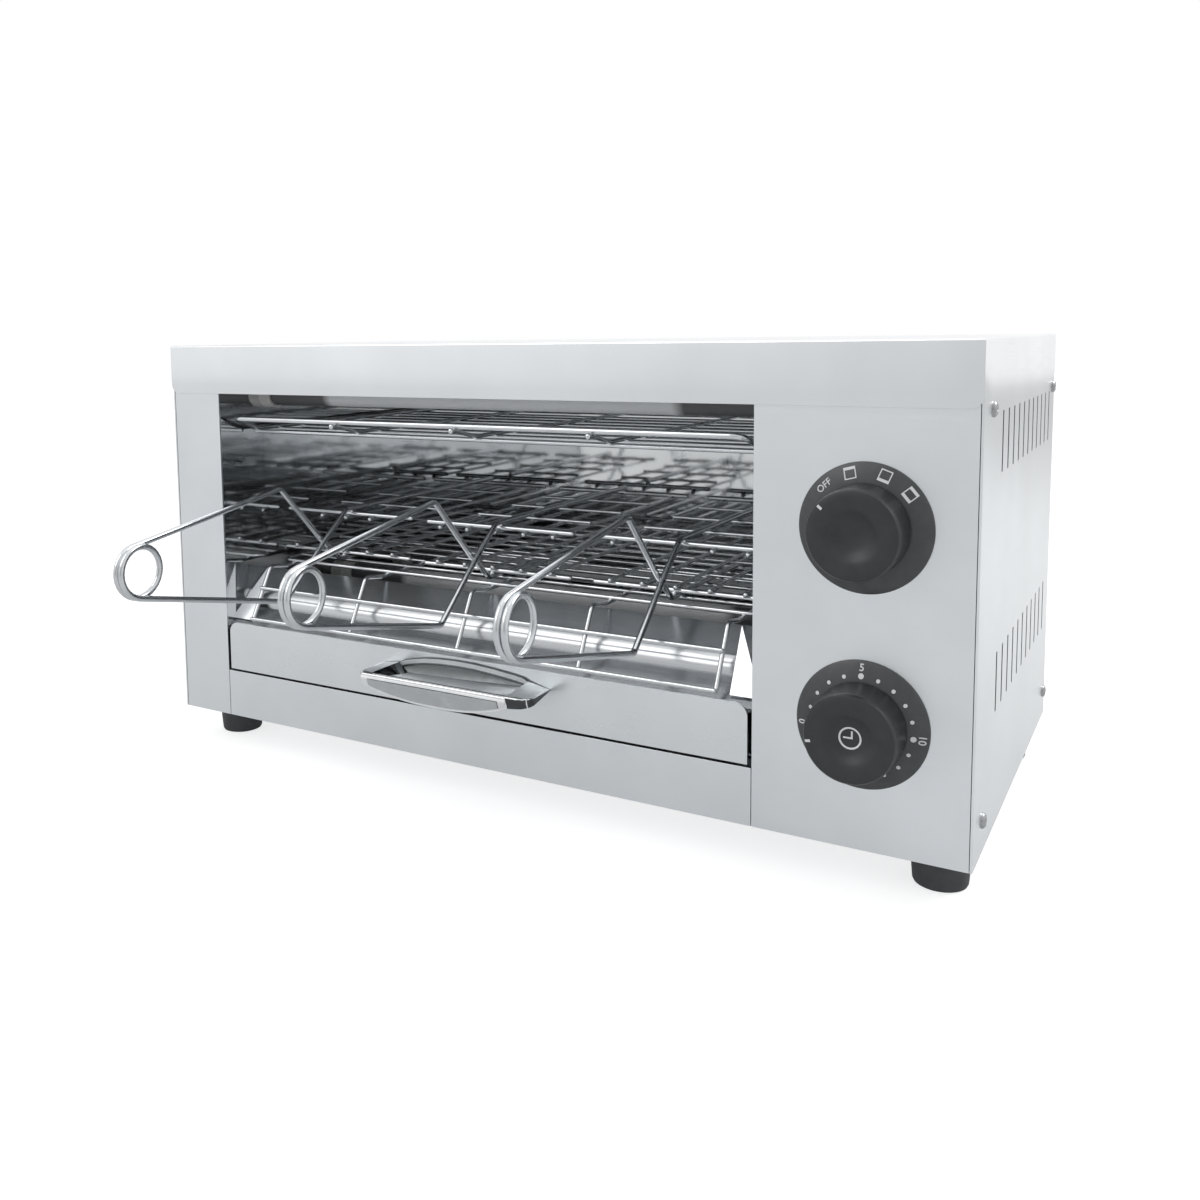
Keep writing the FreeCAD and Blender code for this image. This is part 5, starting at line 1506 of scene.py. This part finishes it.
@dataclass
class MinuteTimer(RotaryControl):
    """Timer with a dot for every minute, numbers every five and a clock face on its knob."""

    dot_ring: float = 21.3
    dot_radius: float = 0.8
    bold_dot: float = 1.15
    minute: float = 19.0
    start: float = -95.0
    minutes: int = 15
    face_radius: float = 4.6
    face_line: float = 0.75
    number_size: float = 4.1
    number_gap: float = 3.2
    number_weight: float = 0.08

    def dial_marks(self) -> Piece:
        """Dots around the dial, larger and numbered every five minutes."""
        clocks = [self.start + self.minute * i for i in range(self.minutes + 1)]
        spots = [vec(*placed([(0.0, 0.0)], self.dot_ring, clock)[0], 0.0)
                 for i, clock in enumerate(clocks) if i % 5]
        dot = flat_print("single_dot", [ring(self.dot_radius, 18)])
        turns = [vec(0.0, 0.0, 0.0)] * len(spots)
        bold = [placed(ring(self.bold_dot, 18), self.dot_ring, clock) for clock in clocks[::5]]
        parts = [repeated("minute_dots", dot, spots, turns, "white_ink"),
                 flat_print("bold_dots", bold)]
        radius = self.dot_ring + self.number_gap
        parts += [lettering(str(5 * i), self.number_size, radius, clock, self.number_weight)
                  for i, clock in enumerate(clocks[::5])]
        return merged("timer_print", parts)

    def knob_marks(self) -> Piece:
        """A clock face in the knob's dish and a bar at its edge."""
        outer = ring(self.face_radius, 40)
        inner = ring(self.face_radius - self.face_line, 40)
        outlines = [[inner[i - 1], outer[i - 1], outer[i], inner[i]] for i in range(40)]
        outlines += [oblong(0.35, 1.05, -0.35, 2.9), oblong(-2.8, 0.35, -0.35, 0.35),
                     self.pointer_bar()]
        return flat_print("timer_pointer", outlines)


@dataclass
class SprungTong:
    """One wire tong: coil, two crossing arms and a wire jaw at the end of each."""

    name: str
    x: float
    push: float = 0.0
    wire: float = 1.5
    coil_y: float = -108.0
    coil_z: float = 107.7
    coil_radius: float = 12.2
    coil_pitch: float = 3.3
    coil_turns: int = 1
    peak: Pair = (100.0, 27.3)
    corner: Pair = (97.5, -34.2)
    cross: Pair = (132.0, -5.4)
    cross_half: float = 1.8
    arm_bend: float = 4.0
    split_gap: float = 0.3
    lower_spine: Pair = (149.0, 88.1)
    upper_spine: Pair = (151.5, 117.0)
    lower_bar: Pair = (153.0, 91.15)
    upper_bar: Pair = (156.0, 113.95)
    jaw_half: float = 45.0
    jaw_length: float = 153.0
    jaw_wire: float = 1.0
    jaw_pitch: float = 17.7
    jaw_rows: int = 5
    overhang: float = 3.0
    weld: float = 0.4
    weld_sink: float = 0.9
    spine_bead: float = 1.08
    tip_bead: float = 1.45
    arm_share: float = 0.75
    coil_steps: int = 30
    ribs: int = 3

    def spot(self, along: float, reach: float, rise: float) -> Vector:
        """A point from its place along the coil's axis, behind it and above it."""
        return vec(self.x + along, self.coil_y + self.push + reach, self.coil_z + rise)

    def tangent(self, bend: Pair, side: float) -> float:
        """Angle on the coil where an arm leaves it towards a bend."""
        return math.atan2(bend[1], bend[0]) + side * math.acos(self.coil_radius / math.hypot(*bend))

    def coil(self, start: float, stop: float, along: float) -> list[Vector]:
        """Points of the coil between two angles; along is the first one's place on its axis."""
        count = math.ceil((stop - start) / math.tau * self.coil_steps)
        points = []
        for step in range(count + 1):
            swept = (stop - start) * step / count
            points.append(self.spot(along + self.coil_pitch * swept / math.tau,
                                    self.coil_radius * math.cos(start + swept),
                                    self.coil_radius * math.sin(start + swept)))
        return points

    def arm(self, coil: list[Vector], side: float, axial: float, bend: Pair, spine: Pair,
            bar: Pair) -> list[Vector]:
        """A half's wire from the middle of the coil to the end of its spine.

        Args:
            coil: Its part of the coil, up to where the arm leaves it.
            side: The side of the tong's middle on which it runs.
            axial: Place of the coil's last point along its axis.
            bend: Its first bend behind the coil.
            spine: Start and height of its spine.
            bar: Distance and height of its jaw's front bar.

        Returns:
            The corners and arcs of the wire.
        """
        across, rise = side * self.cross_half, spine[1] - self.coil_z
        corners = [coil[-1], self.spot(axial - (axial - across) * self.arm_share, *bend),
                   self.spot(across, *self.cross), self.spot(across, spine[0], rise),
                   self.spot(across, bar[0] + self.jaw_length + self.wire, rise)]
        return coil + rounded(corners, self.arm_bend)[1:]

    def build(self) -> None:
        """Adds the lower and the upper half."""
        first = self.tangent(self.peak, 1.0)
        last = self.tangent(self.corner, -1.0) + (self.coil_turns + 1) * math.tau
        split = self.coil_turns * math.tau
        gap = self.split_gap / self.coil_radius
        half = self.coil_pitch * (last - first) / math.tau / 2
        restart = half - self.coil_pitch * (last - split - gap) / math.tau
        spring = self.arm(self.coil(first, split - gap, -half)[::-1], -1.0, -half, self.peak,
                          self.lower_spine, self.lower_bar)
        crossing = self.arm(self.coil(split + gap, last, restart), 1.0, half, self.corner,
                            self.upper_spine, self.upper_bar)
        for half_name, wire, bar, towards, body, nodes in (
                ("lower", spring, self.lower_bar, 1.0, "", ("spring_arm", "lower_jaw")),
                ("upper", crossing, self.upper_bar, -1.0, "_upper_half",
                 ("cross_arm", "upper_jaw"))):
            work = WireWork(f"{self.name}_tong_{half_name}_wires")
            work.run(wire, self.wire, 0.0, self.wire)
            self.add_jaw(work, wire[-1].x, bar, towards)
            settle(work.build("plated_tong_wire", 16), None, f"{self.name}_tong{body}",
                   "tong_chrome", *(f"{self.name}_tong_{node}" for node in nodes))

    def add_jaw(self, work: WireWork, spine_x: float, bar: Pair, towards: float) -> None:
        """Adds a jaw: thick end bars, lengthwise wires on the bread's side and thin ribs.

        Args:
            work: The wires of the tong's half.
            spine_x: Where its spine runs.
            bar: Distance behind the coil and height of the front bar.
            towards: Whether the bread lies above (1) or below (-1).
        """
        front, level = bar
        bars = (front, front + self.jaw_length)
        rise = level - self.coil_z
        row = self.jaw_pitch * (self.jaw_rows - 1) / 2
        inner = rise + towards * (self.wire + self.jaw_wire - self.weld)
        for reach in bars:
            work.run([self.spot(side * self.jaw_half, reach, rise) for side in SIDES],
                     self.wire, 0.0, self.wire)
            work.bead(vec(spine_x, self.spot(0.0, reach, 0.0).y, level - towards * self.wire),
                      self.wire * self.spine_bead)
        for index in range(self.jaw_rows):
            along = -row + self.jaw_pitch * index
            work.run([self.spot(along, bars[0] - self.overhang, inner),
                      self.spot(along, bars[1] + self.overhang, inner)],
                     self.jaw_wire, 0.0, self.jaw_wire * self.tip_bead)
            for reach in bars:
                work.bead(self.spot(along, reach, rise + towards * self.wire * self.weld_sink),
                          self.jaw_wire)
        rib = inner - towards * (2 * self.jaw_wire - self.weld)
        for index in range(1, self.ribs + 1):
            reach = front + self.jaw_length * index / (self.ribs + 1)
            work.run([self.spot(side * (row + self.jaw_wire), reach, rib) for side in SIDES],
                     self.jaw_wire)


def main() -> None:
    """Builds the studio and the object's sub-assemblies in order."""
    logging.basicConfig(level=logging.INFO, format="%(name)s: %(message)s")
    bpy.context.scene.view_settings.view_transform = "Standard"
    Studio().build()
    for assembly in (
            CabinetShell(), GrillChamber(), CrumbTray(),
            ElementSelector("selector", Body.SELECTOR, 136.5, -50.0),
            MinuteTimer("timer", Body.TIMER, 54.2, -100.0),
            SprungTong("left", 85.0, 4.0), SprungTong("middle", 190.0), SprungTong("right", 295.0)):
        assembly.build()


if __name__ == "__main__":
    main()
